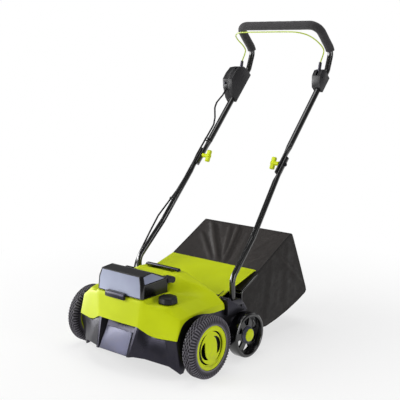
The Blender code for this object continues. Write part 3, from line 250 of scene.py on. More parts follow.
def glazed(name, low, high, roughness, reflection_tilt, coat):
    """Glossy cover panel: its tone grades across the panel as a painted reflection and drifts at
    random, with faint wipe marks.
    """
    f = Finish(name)
    parts = f.add("SeparateXYZ", {"Vector": f.where})
    # painted reflection: the tone grades along X and Z
    reflection_slant = f.sums("ADD", f.sums("MULTIPLY", parts.outputs["X"], reflection_tilt[0]),
                   f.sums("MULTIPLY", parts.outputs["Z"], reflection_tilt[1]))
    drift = f.sums("ADD", f.sums("MULTIPLY", f.noise(12, 2), 0.25), reflection_tilt[2])
    reflection_slant = f.sums("ADD", reflection_slant, drift)
    shade = f.ramp(reflection_slant, (0.15, low), (0.95, high))
    wipes = f.noise(60, 4, (0.3, 1, 1.6))
    f.surface(Base_Color=shade, Roughness=f.spread(wipes, roughness, roughness + 0.06),
              Coat_Weight=coat, Coat_Roughness=0.05, Specular_IOR_Level=0.35,
              Normal=f.bump(f.noise(18, 1), 0.0004, 0.15))
    return f.material


def circuit_board():
    f = Finish("board_green")
    tracks = f.add("TexBrick", {"Vector": f.where, "Scale": 130.0, "Mortar Size": 0.03,
                                "Color1": "0d5a2c", "Color2": "0a4a26",
                                "Mortar": "3c9a5e"})
    f.surface(Base_Color=tracks.outputs["Color"], Roughness=f.spread(f.noise(90), 0.35, 0.5),
              Normal=f.bump(tracks.outputs["Fac"], 0.0002, 0.5))
    return f.material


LIME = moulded("lime_plastic", "b7c50e", "c3d112", "dbe74a", 0.46, dirt="8a8058", wear=0.4,
               shine=0.3, tint="f0f285")
BLACK = moulded("black_plastic", "0c0c0d", "131315", "4a4a52", 0.29, dirt="2c2922", wear=0.6,
                shine=0.45, tint="dcd8f8")
HOUSING = moulded("housing_black", "0c0c0d", "131315", "26262a", 0.29, dirt="2c2922", wear=0.12,
                  shine=0.48, tint="dcd8f8")
SATIN = moulded("satin_black", "151517", "201f22", "6c6c72", 0.4, grain=1000, depth=0.00015,
                wear=0.9, shine=0.28)
GLOSS = moulded("gloss_black", "050506", "0a0a0c", "34343a", 0.14, grain=700, depth=0.00003,
                coat=0.4, dirt="1c1a15", wear=0.35)
# Lavender grey on the badge plate and the rear wheels' rings is a painted reflection of the lamps
# on glossy black plastic.
GREY_REFLECTION = moulded("grey_plastic", "434450", "545563", "8a8b98", 0.34, dirt="57503f", wear=0.6,
               tint="d0d2ff")
# The tyre's lilac edges are a painted highlight and its grooves painted shade.
TYRE = rubbery("tyre_rubber", "252228", "353239", "504c50", raised_highlight="6b6870")
BELT = rubbery("rubber", "0b0b0c", "131214", "2b292a", 900)
TUBE = painted("painted_tube", "060607", "0a0a0b", 0.2, 0.6)
WIRE = painted("lime_wire", "a5b91c", "b5c92c", 0.32, 0.3)
STEEL = metal("steel", "8c8c90", "b4b4b8", 0.32)
DARK_STEEL = metal("dark_steel", "141416", "2a2a2e", 0.38)
FOAM = foam_rubber()
CLOTH = woven("fabric", "231f1e", "2c2826")
# The side panels take a darker copy of the cloth: painted shade.
CLOTH_SHADED = woven("fabric_painted_shade", "161413", "1d1b1a")
PIPING = rubbery("bag_piping", "090808", "121010", "231f1f", 1200)
# The pale lavender cover panels are a painted reflection.
COVER_REFLECTION = glazed("cover_painted_reflection", "666b84", "b4bbd2", 0.08, (-1.6, -3.2, 1.45), 0.8)
CHARCOAL = glazed("cover_charcoal", "09090b", "161619", 0.22, (-2.0, 2.0, 0.1), 0.25)
SMOKED = glazed("cover_smoked", "040404", "100f0c", 0.22, (0.0, 8.0, -1.9), 0.1)
BOARD = circuit_board()


# --- Mesh helpers ---
def bounded(shape, name, *materials, smooth=32):
    """A mesh object from a bmesh, with normals out and edges past the smooth angle kept sharp."""
    bmesh.ops.recalc_face_normals(shape, faces=shape.faces)
    mesh = bpy.data.meshes.new(name)
    shape.to_mesh(mesh)
    shape.free()
    for material in materials:
        mesh.materials.append(material)
    obj = bpy.data.objects.new(name, mesh)
    bpy.context.scene.collection.objects.link(obj)
    if smooth:
        mesh.shade_smooth()
        mesh.set_sharp_from_angle(angle=radians(smooth))
    return obj


def fitted(obj, body, slot, *nodes):
    """Fixes a finished piece to a body and hides the CAD nodes it stands for; the slot is not used.
    """
    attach(obj, body)
    for node in nodes:
        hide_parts(node)


def applied(obj):
    """The object with its modifiers baked into its mesh."""
    graph = bpy.context.evaluated_depsgraph_get()
    mesh = bpy.data.meshes.new_from_object(obj.evaluated_get(graph))
    obj.modifiers.clear()
    obj.data = mesh
    return obj


def thickened(obj, thickness, offset=-1.0):
    """A sheet turned into a wall, inwards unless the offset says otherwise."""
    wall = obj.modifiers.new("wall", "SOLIDIFY")
    wall.thickness = thickness
    wall.offset = offset
    return applied(obj)


def cut(obj, tool_shape):
    """The object with a bmesh taken out of it."""
    tool = bounded(tool_shape, "tool", smooth=0)
    boolean = obj.modifiers.new("cut", "BOOLEAN")
    boolean.operation = "DIFFERENCE"
    boolean.object = tool
    applied(obj)
    bpy.data.objects.remove(tool, do_unlink=True)
    return obj


def soften(obj, width, segments=2, angle=30):
    """Rounds the edges past the angle, in degrees."""
    bevel = obj.modifiers.new("edge", "BEVEL")
    bevel.width = width
    bevel.segments = segments
    bevel.limit_method = "ANGLE"
    bevel.angle_limit = radians(angle)
    bevel.harden_normals = True
    return obj


def prism(outline, low, high, axis="x"):
    """An outline across the X or the Z axis, extruded from low to high along it."""
    def point(u, v, depth):
        return at(depth, u, v) if axis == "x" else at(u, v, depth)

    shape = bmesh.new()
    base = shape.faces.new([shape.verts.new(point(u, v, low)) for u, v in outline])
    grown = bmesh.ops.extrude_face_region(shape, geom=[base])["geom"]
    moved = [item for item in grown if isinstance(item, bmesh.types.BMVert)]
    bmesh.ops.translate(shape, verts=moved, vec=point(0, 0, high) - point(0, 0, low))
    return shape


def prism_pair(outline, near, far):
    """An outline extruded from near to far along X on each side of the machine."""
    pair = bmesh.new()
    for ends in ((near, far), (-far, -near)):
        part = prism(outline, *ends)
        mesh = bpy.data.meshes.new("part")
        part.to_mesh(mesh)
        part.free()
        pair.from_mesh(mesh)
        bpy.data.meshes.remove(mesh)
    return pair


def circle(shape, centre, axes, radius, sides):
    """Vertices round a centre, in the plane of two axes."""
    return [shape.verts.new(centre + (axes[0] * cos(t) + axes[1] * sin(t)) * radius)
            for t in (2 * pi * k / sides for k in range(sides))]


def skin(shape, rings, closed=False):
    """Faces from ring to ring, back to the first if closed, or else with caps."""
    for near, far in zip(rings, rings[1:] + rings[:1] if closed else rings[1:]):
        for k in range(len(near)):
            shape.faces.new((near[k], near[k - 1], far[k - 1], far[k]))
    if not closed:
        shape.faces.new(rings[0])
        shape.faces.new(rings[-1])
    return shape


def loop(shape, points, radius, sides=10, closed=False):
    """Adds a round bar along points to a bmesh."""
    last = len(points) - 1
    rings, normal = [], None
    for i, point in enumerate(points):
        before = points[i - 1] if closed or i else point
        after = points[(i + 1) % len(points)] if closed or i < last else point
        tangent = (after - before).normalized()
        if normal is None:
            normal = tangent.orthogonal().normalized()
        normal = (normal - tangent * normal.dot(tangent)).normalized()
        rings.append(circle(shape, point, (normal, tangent.cross(normal)), radius, sides))
    return skin(shape, rings, closed)


def lathe(profile, centre, segments, side, move=None):
    """A closed profile of (x, radius) turned about the X axis through centre. move(i, k) may return
    an offset (along x, along the radius) for profile point i at segment k."""
    shape = bmesh.new()
    rings = []
    for k in range(segments):
        turn = 2 * pi * k / segments
        ring = []
        for i, (x, radius) in enumerate(profile):
            dx, dr = move(i, k) if move else (0.0, 0.0)
            reach = radius + dr
            ring.append(shape.verts.new((side * (x + dx), centre.y + reach * cos(turn),
                                         centre.z + reach * sin(turn))))
        rings.append(ring)
    for near, far in zip(rings, rings[1:] + rings[:1]):
        for i in range(len(profile)):
            j = (i + 1) % len(profile)
            shape.faces.new((near[i], near[j], far[j], far[i]))
    bmesh.ops.remove_doubles(shape, verts=shape.verts, dist=1e-6)
    bmesh.ops.dissolve_degenerate(shape, edges=shape.edges, dist=1e-7)
    return shape


# Rings of a rivet head: (share of its height, share of its radius)
DOME_RINGS = ((-0.6, 1.0), (0.25, 1.0), (0.7, 0.8), (0.95, 0.42))
DOME_HEIGHT = 0.0012
DOME_SIDES = 14


def dome(shape, point, direction, radius):
    """Adds a low rivet head to a bmesh."""
    direction = Vector(direction).normalized()
    normal = direction.orthogonal().normalized()
    axes = normal, direction.cross(normal)
    skin(shape, [circle(shape, point + direction * DOME_HEIGHT * level, axes, radius * share,
                        DOME_SIDES) for level, share in DOME_RINGS])


def arc(centre, radius, start, end, steps):
    """Points along an arc, with its angles in degrees."""
    angles = [radians(start + (end - start) * i / steps) for i in range(steps + 1)]
    return [(centre[0] + radius * cos(a), centre[1] + radius * sin(a)) for a in angles]


# --- CAD pieces that are shown as they are ---
# Width of the rounding on each; a star stands for left and for right
SHOWN = {
    LIME: {"rear_flap": 0.0007, "rear_*_cap": 0.0006, "wing_knob_*": 0.0012, "safety_key": 0.0005},
    HOUSING: {"lower_housing": 0.001},
    BLACK: {"carry_handle": 0.0012, "cover_latch": 0.001, "handle_bracket_*": 0.0012,
            "battery_bay": 0.0006, "bail_arm_*": 0.0006, "lock_button": 0.0004,
            "power_switch": 0.0004, "motor_pulley": 0.0003, "rotor_pulley": 0.0003},
    SATIN: {"depth_knob": 0.0016, "switch_box": 0.0012, "switch_box_cover": 0.0022,
            "bail_bracket": 0.0016, "battery_pack_*": 0.001},
    # the badge plate's grey is a painted reflection
    GREY_REFLECTION: {"badge_plate": 0.0012},
    TUBE: {"bag_frame": 0.0003},
    STEEL: {"front_axle": 0.0005, "rear_axle": 0.0004, "tine_rotor": 0.0003, "rotor_shaft": 0.0004,
            "rotor_bearing_*": 0.0004, "drive_motor": 0.0008, "depth_spindle": 0.0004,
            "cover_hinge_pin": 0.0003, "flap_hinge_rod": 0.0003},
    DARK_STEEL: {"bracket_screw_*": 0.0003, "handle_bolt_*": 0.0004},
    BELT: {"drive_belt": 0.0003, "cable_upper": 0.0, "cable_lower": 0.0},
    BOARD: {"control_board": 0.0},
}


def dress(node, material, width):
    """Gives a CAD object its finish and rounds its edges."""
    node.data.materials.clear()
    node.data.materials.append(material)
    node.data.shade_smooth()
    weld = node.modifiers.new("weld", "WELD")
    weld.merge_threshold = 0.00001
    if width:
        soften(node, width)


def dress_frame():
    for material, pieces in SHOWN.items():
        for name, width in pieces.items():
            for word in ("left", "right") if "*" in name else ("",):
                dress(NODES[name.replace("*", word)], material, width)


# --- Top cover ---
DECK_SIDE = 0.2237
DECK_WALL = 0.003
ARCH_LINE = [
    (-0.08, 0.162), (-0.066, 0.184), (-0.03, 0.197), (0.02, 0.197), (0.07, 0.183),
    (0.128, 0.1815), (0.135, 0.182), (0.1375, 0.1822), (0.141, 0.1825)
]
# Rows from the lower front edge to the bottom of the rear wall; each runs from the middle outwards
DECK_ROWS = [
    [(0, -0.1365, 0.161), (0.09, -0.1331, 0.1607), (0.105, -0.1286, 0.1525),
     (0.1376, -0.1176, 0.134), (0.182, -0.1047, 0.1337), (DECK_SIDE, -0.093, 0.1335)],
    [(0, -0.1275, 0.245), (0.0945, -0.1245, 0.245), (0.105, -0.122, 0.244),
     (0.116, -0.1175, 0.238), (0.17, -0.0965, 0.224), (DECK_SIDE, -0.075, 0.1975)],
    [(0, -0.115, 0.2503), (0.0945, -0.115, 0.2503), (0.1065, -0.113, 0.2503),
     (0.1145, -0.109, 0.2375), (0.174, -0.084, 0.233), (DECK_SIDE, -0.066, 0.199)],
    [None, (0.0945, -0.06, 0.2503), (0.1065, -0.06, 0.2503),
     (0.1145, -0.06, 0.2352), (0.185, -0.055, 0.2345), (DECK_SIDE, -0.03, 0.2035)],
    [(0, -0.005, 0.2503), (0.0945, -0.005, 0.2503), (0.1065, -0.005, 0.2503),
     (0.1145, -0.005, 0.237), (0.184, 0.005, 0.233), (DECK_SIDE, 0.02, 0.204)],
    [(0, 0.004, 0.26), (0.085, 0.004, 0.26), (0.098, 0.012, 0.257),
     (0.12, 0.028, 0.242), (0.183, 0.06, 0.231), (DECK_SIDE, 0.07, 0.2045)],
    [(0, 0.05, 0.296), (0.085, 0.055, 0.295), (0.115, 0.068, 0.282),
     (0.148, 0.085, 0.267), (0.188, 0.113, 0.237), (DECK_SIDE, 0.128, 0.2075)],
    [(0, 0.115, 0.296), (0.088, 0.105, 0.292), (0.118, 0.106, 0.279),
     (0.155, 0.112, 0.262), (0.195, 0.13, 0.232), (DECK_SIDE, 0.1365, 0.204)],
    [(0, 0.142, 0.23), (0.09, 0.142, 0.228), (0.12, 0.142, 0.226),
     (0.155, 0.142, 0.222), (0.196, 0.142, 0.216), (DECK_SIDE, 0.1385, 0.2)],
    [(0, 0.1435, 0.186), (0.09, 0.1435, 0.186), (0.12, 0.1435, 0.186),
     (0.155, 0.1435, 0.186), (0.196, 0.143, 0.186), (DECK_SIDE, 0.141, 0.187)],
]
GRIP_RECESS = [
    (-0.058, 0.066), (0.058, 0.066), (0.062, 0.07), (0.062, 0.098), (0.058, 0.102),
    (-0.058, 0.102), (-0.062, 0.098), (-0.062, 0.07)
]
COVER_HINGE = (0.018, 0.288)


def crease_for(bend):
    """How sharply the subdivided sheet keeps an edge between facets that meet at this angle."""
    if bend > radians(14):
        return 0.86
    return 0.72 if bend > radians(4) else 0.0


def make_top_cover():
    """One moulded sheet of facets with softly rounded edges, and two posts for the cover."""
    rows = [DECK_ROWS[0] + [DECK_ROWS[0][-1]]]
    rows += [row + [(DECK_SIDE, *end)] for row, end in zip(DECK_ROWS[1:], ARCH_LINE)]
    shape = bmesh.new()
    for side in (1, -1):
        grid = [[shape.verts.new(at(side * p[0], *p[1:])) if p else None for p in row]
                for row in rows]
        for lower, upper in zip(grid, grid[1:]):
            for corners in zip(lower, lower[1:], upper[1:], upper):
                if None not in corners:
                    shape.faces.new(corners)
    bmesh.ops.remove_doubles(shape, verts=shape.verts, dist=1e-6)
    bmesh.ops.recalc_face_normals(shape, faces=shape.faces)
    crease = shape.edges.layers.float.new("crease_edge")
    for edge in shape.edges:
        if edge.is_boundary:
            edge[crease] = 1.0
        elif edge.is_manifold:
            edge[crease] = crease_for(edge.calc_face_angle())
    cover = bounded(shape, "top_cover_moulding", LIME, smooth=0)
    subdivide = cover.modifiers.new("fine", "SUBSURF")
    subdivide.levels = subdivide.render_levels = 3
    subdivide.boundary_smooth = "PRESERVE_CORNERS"
    thickened(cover, DECK_WALL)
    cut(cover, prism(GRIP_RECESS, 0.28, 0.31, "z"))
    cover.data.shade_smooth()
    cover.data.set_sharp_from_angle(angle=radians(42))
    soften(cover, 0.0006, 1, 55)
    fitted(cover, "machine_body", "lime_plastic", "top_cover")

    outline = arc(COVER_HINGE, 0.0075, 210, -30, 14) + [(0.03, 0.274), (0.012, 0.26)]
    posts = bounded(prism_pair(outline, 0.066, 0.0765), "cover_posts", BLACK)
    fitted(soften(posts, 0.0006), "machine_body", "black_plastic")


# --- Battery cover ---
COVER_CORNERS = [
    (0.0973, -0.1238, 0.2507), (0.1035, -0.115, 0.2507), (0.1035, -0.0062, 0.2507),
    (0.0945, -0.1205, 0.2945), (0.1045, -0.113, 0.2945), (0.1045, -0.0055, 0.2985),
    (0.0863, -0.1163, 0.3227), (0.0925, -0.108, 0.322), (0.0905, -0.065, 0.3265),
    (0.0965, -0.005, 0.301)
]
COVER_TONES = (GLOSS, COVER_REFLECTION, CHARCOAL, SMOKED)
COVER_NOTCH = [(-0.012, 0.24), (0.0, 0.24), (0.0, 0.27), (-0.012, 0.27)]
COVER_WALL = 0.0016
SMALLEST_PANEL = 0.0011         # square metres


def panel_tone(normal):
    """Which of the cover's finishes a panel takes, from the way it faces: panels facing forward,
    and panels facing up and out to a side, take the painted reflection.
    """
    if normal.z > 0.75:
        return COVER_TONES.index(CHARCOAL)
    if normal.y < -0.8 or (abs(normal.x) > 0.7 and normal.z > 0.2):
        return COVER_TONES.index(COVER_REFLECTION)
    return COVER_TONES.index(SMOKED)


def make_battery_cover():
    """Framed cover: pale panels in front and high on the sides, a painted reflection, and smoked
    panels low down.
    """
    shape = bmesh.new()
    for x, y, z in COVER_CORNERS:
        shape.verts.new(at(x, y, z))
        shape.verts.new(at(-x, y, z))
    bmesh.ops.convex_hull(shape, input=shape.verts)
    bmesh.ops.dissolve_limit(shape, angle_limit=radians(7), verts=shape.verts, edges=shape.edges)
    bmesh.ops.recalc_face_normals(shape, faces=shape.faces)
    floor = min(shape.faces, key=lambda face: face.calc_center_median().z)
    bmesh.ops.delete(shape, geom=[floor], context="FACES_ONLY")
    for face in [face for face in shape.faces if face.calc_area() > SMALLEST_PANEL]:
        tone = panel_tone(face.normal)
        for width, sink in ((0.0026, 0.0), (0.0006, -0.0007)):
            bmesh.ops.inset_individual(shape, faces=[face], thickness=width, depth=sink,
                                       use_even_offset=True)
        face.material_index = tone
    cover = bounded(shape, "battery_cover_frame", *COVER_TONES)
    thickened(cover, COVER_WALL)
    cut(cover, prism(COVER_NOTCH, -0.09, 0.09))
    cover.data.shade_smooth()
    soften(cover, 0.0012, 3, 14)
    fitted(cover, "battery_cover", "smoked_plastic", "battery_cover")

    outline = [(-0.0062, 0.296), (-0.0062, 0.282), (0.003, 0.281)]
    outline += arc(COVER_HINGE, 0.0108, 250, 450, 14)
    arms = bounded(prism_pair(outline, 0.078, 0.1085), "cover_arms", BLACK)
    fitted(soften(arms, 0.001), "battery_cover", "black_plastic")


# --- Wheels ---
TYRE_SEGMENTS = 256


def make_tyre(side, word):
    node = f"front_{word}_tyre"
    middle, near, far = extents(node)
    x, half = abs(middle.x), (far - near) / 2
    section = [(-half, 0.0727), (-half + 0.0004, 0.078), (-half, 0.0815), (-half, 0.086),
               (-half + 0.0006, 0.0905), (-half + 0.002, 0.095), (-half + 0.004, 0.0985),
               (-half + 0.0066, 0.1005)]
    side_rows = len(section)
    section += [(-half + 0.0066 + (2 * half - 0.0132) * i / 12, 0.1009) for i in range(1, 12)]
    section += [(-d, r) for d, r in reversed(section[:side_rows])]
    rows = len(section)

    def tread_pattern(i, k):
        d = section[i][0]
        outward = 1 if d > 0 else -1
        from_edge = min(i, rows - 1 - i)
        if from_edge >= side_rows:      # sunk cells in staggered rows between the blocks
            across, cell = (i - side_rows) // 2, (i - side_rows) % 2
            sunk = cell == 1 and (k + 4 * (across % 2)) % 8 in (0, 1, 2)
            return (0.0, -0.0032) if sunk else (0.0, 0.0006)
        if 3 <= from_edge:              # ribs that run from the shoulder down the side wall
            if k % 4 >= 2:
                return (-0.0015 * outward, -0.002)
            return (0.0004 * outward if 3 < from_edge < 6 else 0.0,
                    0.0003 if from_edge > 5 else 0.0)
        return (0.0, 0.0)

    profile = [(x + d, r) for d, r in section]
    shape = lathe(profile, middle, TYRE_SEGMENTS, side, tread_pattern)
    tyre = bounded(shape, node + "_tread", TYRE, smooth=38)
    fitted(tyre, f"front_{word}_wheel", "tyre_rubber", node)


HUB_RIM_RADIUS = 0.072
# Openings in a hub: (radius, width, middle in degrees, half their spread, lean)
HUB_SLOTS = ((0.0536, 0.008, 6, 74, 0.0), (0.0383, 0.0172, 14, 56, -0.4))


def crescent(centre, radius, width, middle, spread, lean):
    """A slot that tapers to both ends; lean shifts its thickest place along it."""
    outer, inner = [], []
    for i in range(17):
        share = -1 + 2 * i / 16
        turn = radians(middle + spread * share)
        half = width / 2 * (1 - abs(share) ** 2.2) * (1 + lean * share) + 0.0004
        for points, reach in ((outer, radius + half), (inner, radius - half)):
            points.append((centre.y + reach * cos(turn), centre.z + reach * sin(turn)))
    return outer + inner[::-1]


def make_hub(side, word):
    node = f"front_{word}_hub"
    middle, inner, rim = extents(node)
    face = rim - 0.003
    profile = [(face + 0.0014, 0.0), (face + 0.0012, 0.02), (face + 0.0002, 0.042),
               (face - 0.001, 0.0575), (rim - 0.001, 0.0605), (rim, 0.0622), (rim, 0.07),
               (rim - 0.0012, HUB_RIM_RADIUS), (inner, HUB_RIM_RADIUS), (inner, 0.0665),
               (face - 0.005, 0.064), (face - 0.0022, 0.06), (face - 0.0012, 0.0)]
    hub = bounded(lathe(profile, middle, 96, side), node + "_face", LIME, BLACK)
    for turn in (0, 180):
        for radius, width, place, spread, lean in HUB_SLOTS:
            outline = crescent(middle, radius, width, place + turn, spread, lean)
            outline = [(y - AXLE_Y, z) for y, z in outline]
            cut(hub, prism(outline, *sorted((side * (face - 0.01), side * (rim + 0.004)))))
    hub.data.shade_smooth()
    hub.data.set_sharp_from_angle(angle=radians(32))
    soften(hub, 0.0007, 2, 40)
    fitted(hub, f"front_{word}_wheel", "lime_plastic", node)

    well = lathe([(face - 0.013, 0.0), (face - 0.013, 0.064), (face - 0.015, 0.064),
                  (face - 0.015, 0.0)], middle, 48, side)
    fitted(bounded(well, f"front_{word}_hub_back", BLACK), f"front_{word}_wheel", "black_plastic")


REAR_RADIUS = 0.0772
SPOKES = 6


def make_rear_wheel(side, word):
    node = f"rear_{word}_wheel"
    middle, inner, outer = extents(node)
    profile = [(inner, 0.006), (outer - 0.0061, 0.006), (outer - 0.0061, 0.0235),
               (outer - 0.0071, 0.0245), (outer - 0.0135, 0.0275), (outer - 0.0181, 0.06),
               (outer - 0.004, 0.064), (outer - 0.001, 0.0652), (outer, 0.067), (outer, 0.0712),
               (outer - 0.0008, 0.0738), (outer - 0.003, 0.0764), (outer - 0.0065, REAR_RADIUS),
               (inner + 0.0065, REAR_RADIUS),
               (inner + 0.002, 0.076), (inner, 0.0735), (inner, 0.068), (outer - 0.0241, 0.064),
               (outer - 0.0221, 0.028), (inner, 0.025)]
    wheel = bounded(lathe(profile, middle, 96, side), node + "_moulding", GLOSS)
    y, z = middle.y - AXLE_Y, middle.z
    for i in range(SPOKES):
        place = 360 / SPOKES * i + 30
        inside = arc((0, 0), 0.0322, place - 11, place + 11, 6)
        outside = arc((0, 0), 0.0566, place + 17, place - 17, 10)
        outline = [(y + u, z + v) for u, v in inside + outside]
        cut(wheel, prism(outline, *sorted((side * (inner + 0.006), side * (outer - 0.004)))))
    wheel.data.shade_smooth()
    wheel.data.set_sharp_from_angle(angle=radians(28))
    soften(wheel, 0.001, 2, 40)
    fitted(wheel, f"rear_{word}_wheel", "black_plastic", node)

    # The grey ring on the wheel's cone is a painted highlight.
    ring = lathe([(outer - 0.006, 0.0219), (outer - 0.0034, 0.0222), (outer - 0.003, 0.0232),
                  (outer - 0.012, 0.0292), (outer - 0.0132, 0.028), (outer - 0.0068, 0.024)],
                 middle, 64, side)
    fitted(bounded(ring, f"rear_{word}_ring", GREY_REFLECTION), f"rear_{word}_wheel", "grey_plastic")


# --- Collection bag ---
BAG_HALF = 0.2016
BAG_COLUMNS = 66
SIDE_STEPS = 80
SIDE_RISES = 44
# Outline from the top of the mouth, with the back and belly a little full and the corners soft
BAG_FULL = [
    (0.26, 0.2135), (0.36, 0.264), (0.455, 0.3135), (0.542, 0.3592), (0.551, 0.3626),
    (0.5576, 0.3596), (0.564, 0.348), (0.596, 0.276), (0.628, 0.202), (0.654, 0.14),
    (0.6575, 0.1275), (0.652, 0.1195), (0.6, 0.0985), (0.535, 0.078), (0.47, 0.062),
    (0.404, 0.051), (0.3, 0.059), (0.26, 0.118)
]
# Panels between those points, with how far each one sags or swells outwards in its middle
BAG_PANELS = ((0, 5), (5, 11), (11, 15), (15, 16), (16, 17))
PANEL_DEPTHS = (-0.0085, 0.006, 0.012, 0.004, 0.0015)
SEAM_CORNERS = ((0.26, 0.2135), (0.5546, 0.3667), (0.6585, 0.125))
STITCH_PITCH = 0.008
STITCH_LENGTH = 0.0045
STITCH_INSET = 0.0065
CLOTH_THICKNESS = 0.0014
# Folds: both ends, height, width. On the top and the back an end is (distance into the panel, x),
# and on the sides it is (y, z).
TOP_FOLDS = [
    ((0.325, -0.17), (0.115, 0.005), 0.01, 0.009),
    ((0.332, -0.035), (0.115, 0.03), 0.011, 0.007),
    ((0.25, -0.165), (0.125, -0.03), 0.006, 0.007),
    ((0.325, -0.075), (0.15, 0.005), 0.007, 0.006),
    ((0.3, 0.03), (0.14, 0.065), 0.005, 0.01),
    ((0.2, 0.185), (0.11, 0.11), 0.0055, 0.012),
    ((0.32, 0.16), (0.2, 0.1), 0.0045, 0.012)
]
BACK_FOLDS = [
    ((0.02, -0.17), (0.15, -0.05), 0.005, 0.011),
    ((0.02, 0.175), (0.14, 0.06), 0.0048, 0.012),
    ((0.235, -0.15), (0.12, -0.02), 0.0038, 0.013),
    ((0.225, 0.165), (0.13, 0.03), 0.0034, 0.014)
]
SIDE_FOLDS = [
    ((0.47, 0.3), (0.64, 0.15), 0.0085, 0.01),
    ((0.3, 0.205), (0.48, 0.11), 0.0045, 0.014),
    ((0.53, 0.33), (0.52, 0.11), 0.0032, 0.016),
    ((0.43, 0.26), (0.4, 0.08), 0.0028, 0.015)
]


def fold_height(u, v, folds):
    """Height of soft ridges, each with a shallow trough on one side, at a place on a panel."""
    total = 0.0
    for (u0, v0), (u1, v1), height, width in folds:
        du, dv = u1 - u0, v1 - v0
        length = hypot(du, dv)
        share = ((u - u0) * du + (v - v0) * dv) / length ** 2
        off = ((u - u0) * dv - (v - v0) * du) / length
        fade = exp(-max(0.0, abs(share - 0.5) - 0.38) ** 2 / 0.02)
        trough = exp(-((off - 1.7 * width) / (1.3 * width)) ** 2)
        total += height * fade * (exp(-(off / width) ** 2) - 0.6 * trough)
    return total


def wrinkle(point):
    """Uneven lie of the cloth, at three sizes."""
    return sum(height * noise.noise(point / size)
               for height, size in ((0.0022, 0.07), (0.0012, 0.026), (0.0005, 0.011)))


def grid_mesh(points, name, material):
    """A cloth panel from a grid of points, thickened on both sides."""
    shape = bmesh.new()
    rows = [[shape.verts.new(p) for p in row] for row in points]
    for near, far in zip(rows, rows[1:]):
        for a, b, c, d in zip(near, near[1:], far[1:], far):
            shape.faces.new((a, b, c, d))
    obj = bounded(shape, name, material, smooth=0)
    thickened(obj, CLOTH_THICKNESS, 0.0)
    obj.data.shade_smooth()
    return obj


def along_bag():
    """(point, direction, panel number, distance into the panel, panel length) along the outline."""
    steps = []
    for number, (first, last) in enumerate(BAG_PANELS):
        corners = [Vector(point) for point in BAG_FULL[first:last + 1]]
        length = sum((b - a).length for a, b in zip(corners, corners[1:]))
        gone = 0.0
        for a, b in zip(corners, corners[1:]):
            count = max(1, round((b - a).length / 0.005))
            for i in range(count):
                steps.append((a.lerp(b, i / count), (b - a).normalized(), number,
                              gone + (b - a).length * i / count, length))
            gone += (b - a).length
    steps.append((Vector(BAG_FULL[-1]), (b - a).normalized(), number, length, length))
    return steps


def evenly(points, count):
    """Points at even distances along a polyline."""
    points = [Vector(point) for point in points]
    total = sum((b - a).length for a, b in zip(points, points[1:]))
    spread, gone = [points[0]], 0.0
    for a, b in zip(points, points[1:]):
        length = (b - a).length
        while len(spread) < count and total * len(spread) / count <= gone + length:
            spread.append(a.lerp(b, (total * len(spread) / count - gone) / length))
        gone += length
    return spread + [points[-1]]


def make_bag_wrap():
    """Top, back, belly and mouth strips in one run of cloth."""
    rows = []
    columns = [BAG_HALF * (-1 + 2 * k / BAG_COLUMNS) for k in range(BAG_COLUMNS + 1)]
    for point, direction, number, into, length in along_bag():
        outward = Vector((-direction.y, direction.x))
        row = []
        for x in columns:
            hold = ((1 - (x / BAG_HALF) ** 2) * sin(pi * into / length)) ** 0.75 if into else 0.0
            move = PANEL_DEPTHS[number] * hold
            here = Vector((x, point.x, point.y))
            if number == 0:
                clear = min(1.0, max(0.0, (into - 0.09) / 0.06))    # the flap lies in front
                edge = max(0.0, min(1.0, (BAG_HALF - abs(x)) / 0.03, (length - into) / 0.03))
                move += clear * edge * (fold_height(into, x, TOP_FOLDS) + 0.7 * wrinkle(here))
            else:
                folds = fold_height(into, x, BACK_FOLDS) if number == 1 else 0.0
                move += hold ** 0.5 * (wrinkle(here) * 1.4 + folds)
            row.append(at(x, point.x + outward.x * move, point.y + outward.y * move))
        rows.append(row)
    wrap = grid_mesh(rows, "bag_wrap", CLOTH)
    fitted(wrap, "collection_bag", "fabric", "collection_bag")


def make_bag_sides():
    """Side panels, each a patch stretched between the four runs of the outline."""
    top = evenly(BAG_FULL[:4], SIDE_STEPS)
    low = evenly(BAG_FULL[:10:-1], SIDE_STEPS)
    mouth = evenly([BAG_FULL[-1], BAG_FULL[0]], SIDE_RISES)
    back = evenly(BAG_FULL[11:2:-1], SIDE_RISES)
    for side, word in SIDES:
        rows = []
        for i in range(SIDE_STEPS + 1):
            share = i / SIDE_STEPS
            row = []
            for k in range(SIDE_RISES + 1):
                rise = k / SIDE_RISES
                y, z = (low[i] * (1 - rise) + top[i] * rise
                        + mouth[k] * (1 - share) + back[k] * share
                        - low[0] * (1 - share) * (1 - rise) - low[-1] * share * (1 - rise)
                        - top[0] * (1 - share) * rise - top[-1] * share * rise)
                inside = 0 < k < SIDE_RISES and 0 < i < SIDE_STEPS
                hold = (sin(pi * share) * sin(pi * rise)) ** 0.6 if inside else 0.0
                here = Vector((side, y, z))
                move = hold * (0.0045 + fold_height(y, z, SIDE_FOLDS) + 1.3 * wrinkle(here))
                row.append(at(side * (BAG_HALF + move), y, z))
            rows.append(row)
        # darker cloth on the sides: painted shade
        fitted(grid_mesh(rows, f"bag_side_{word}", CLOTH_SHADED), "collection_bag", "fabric")


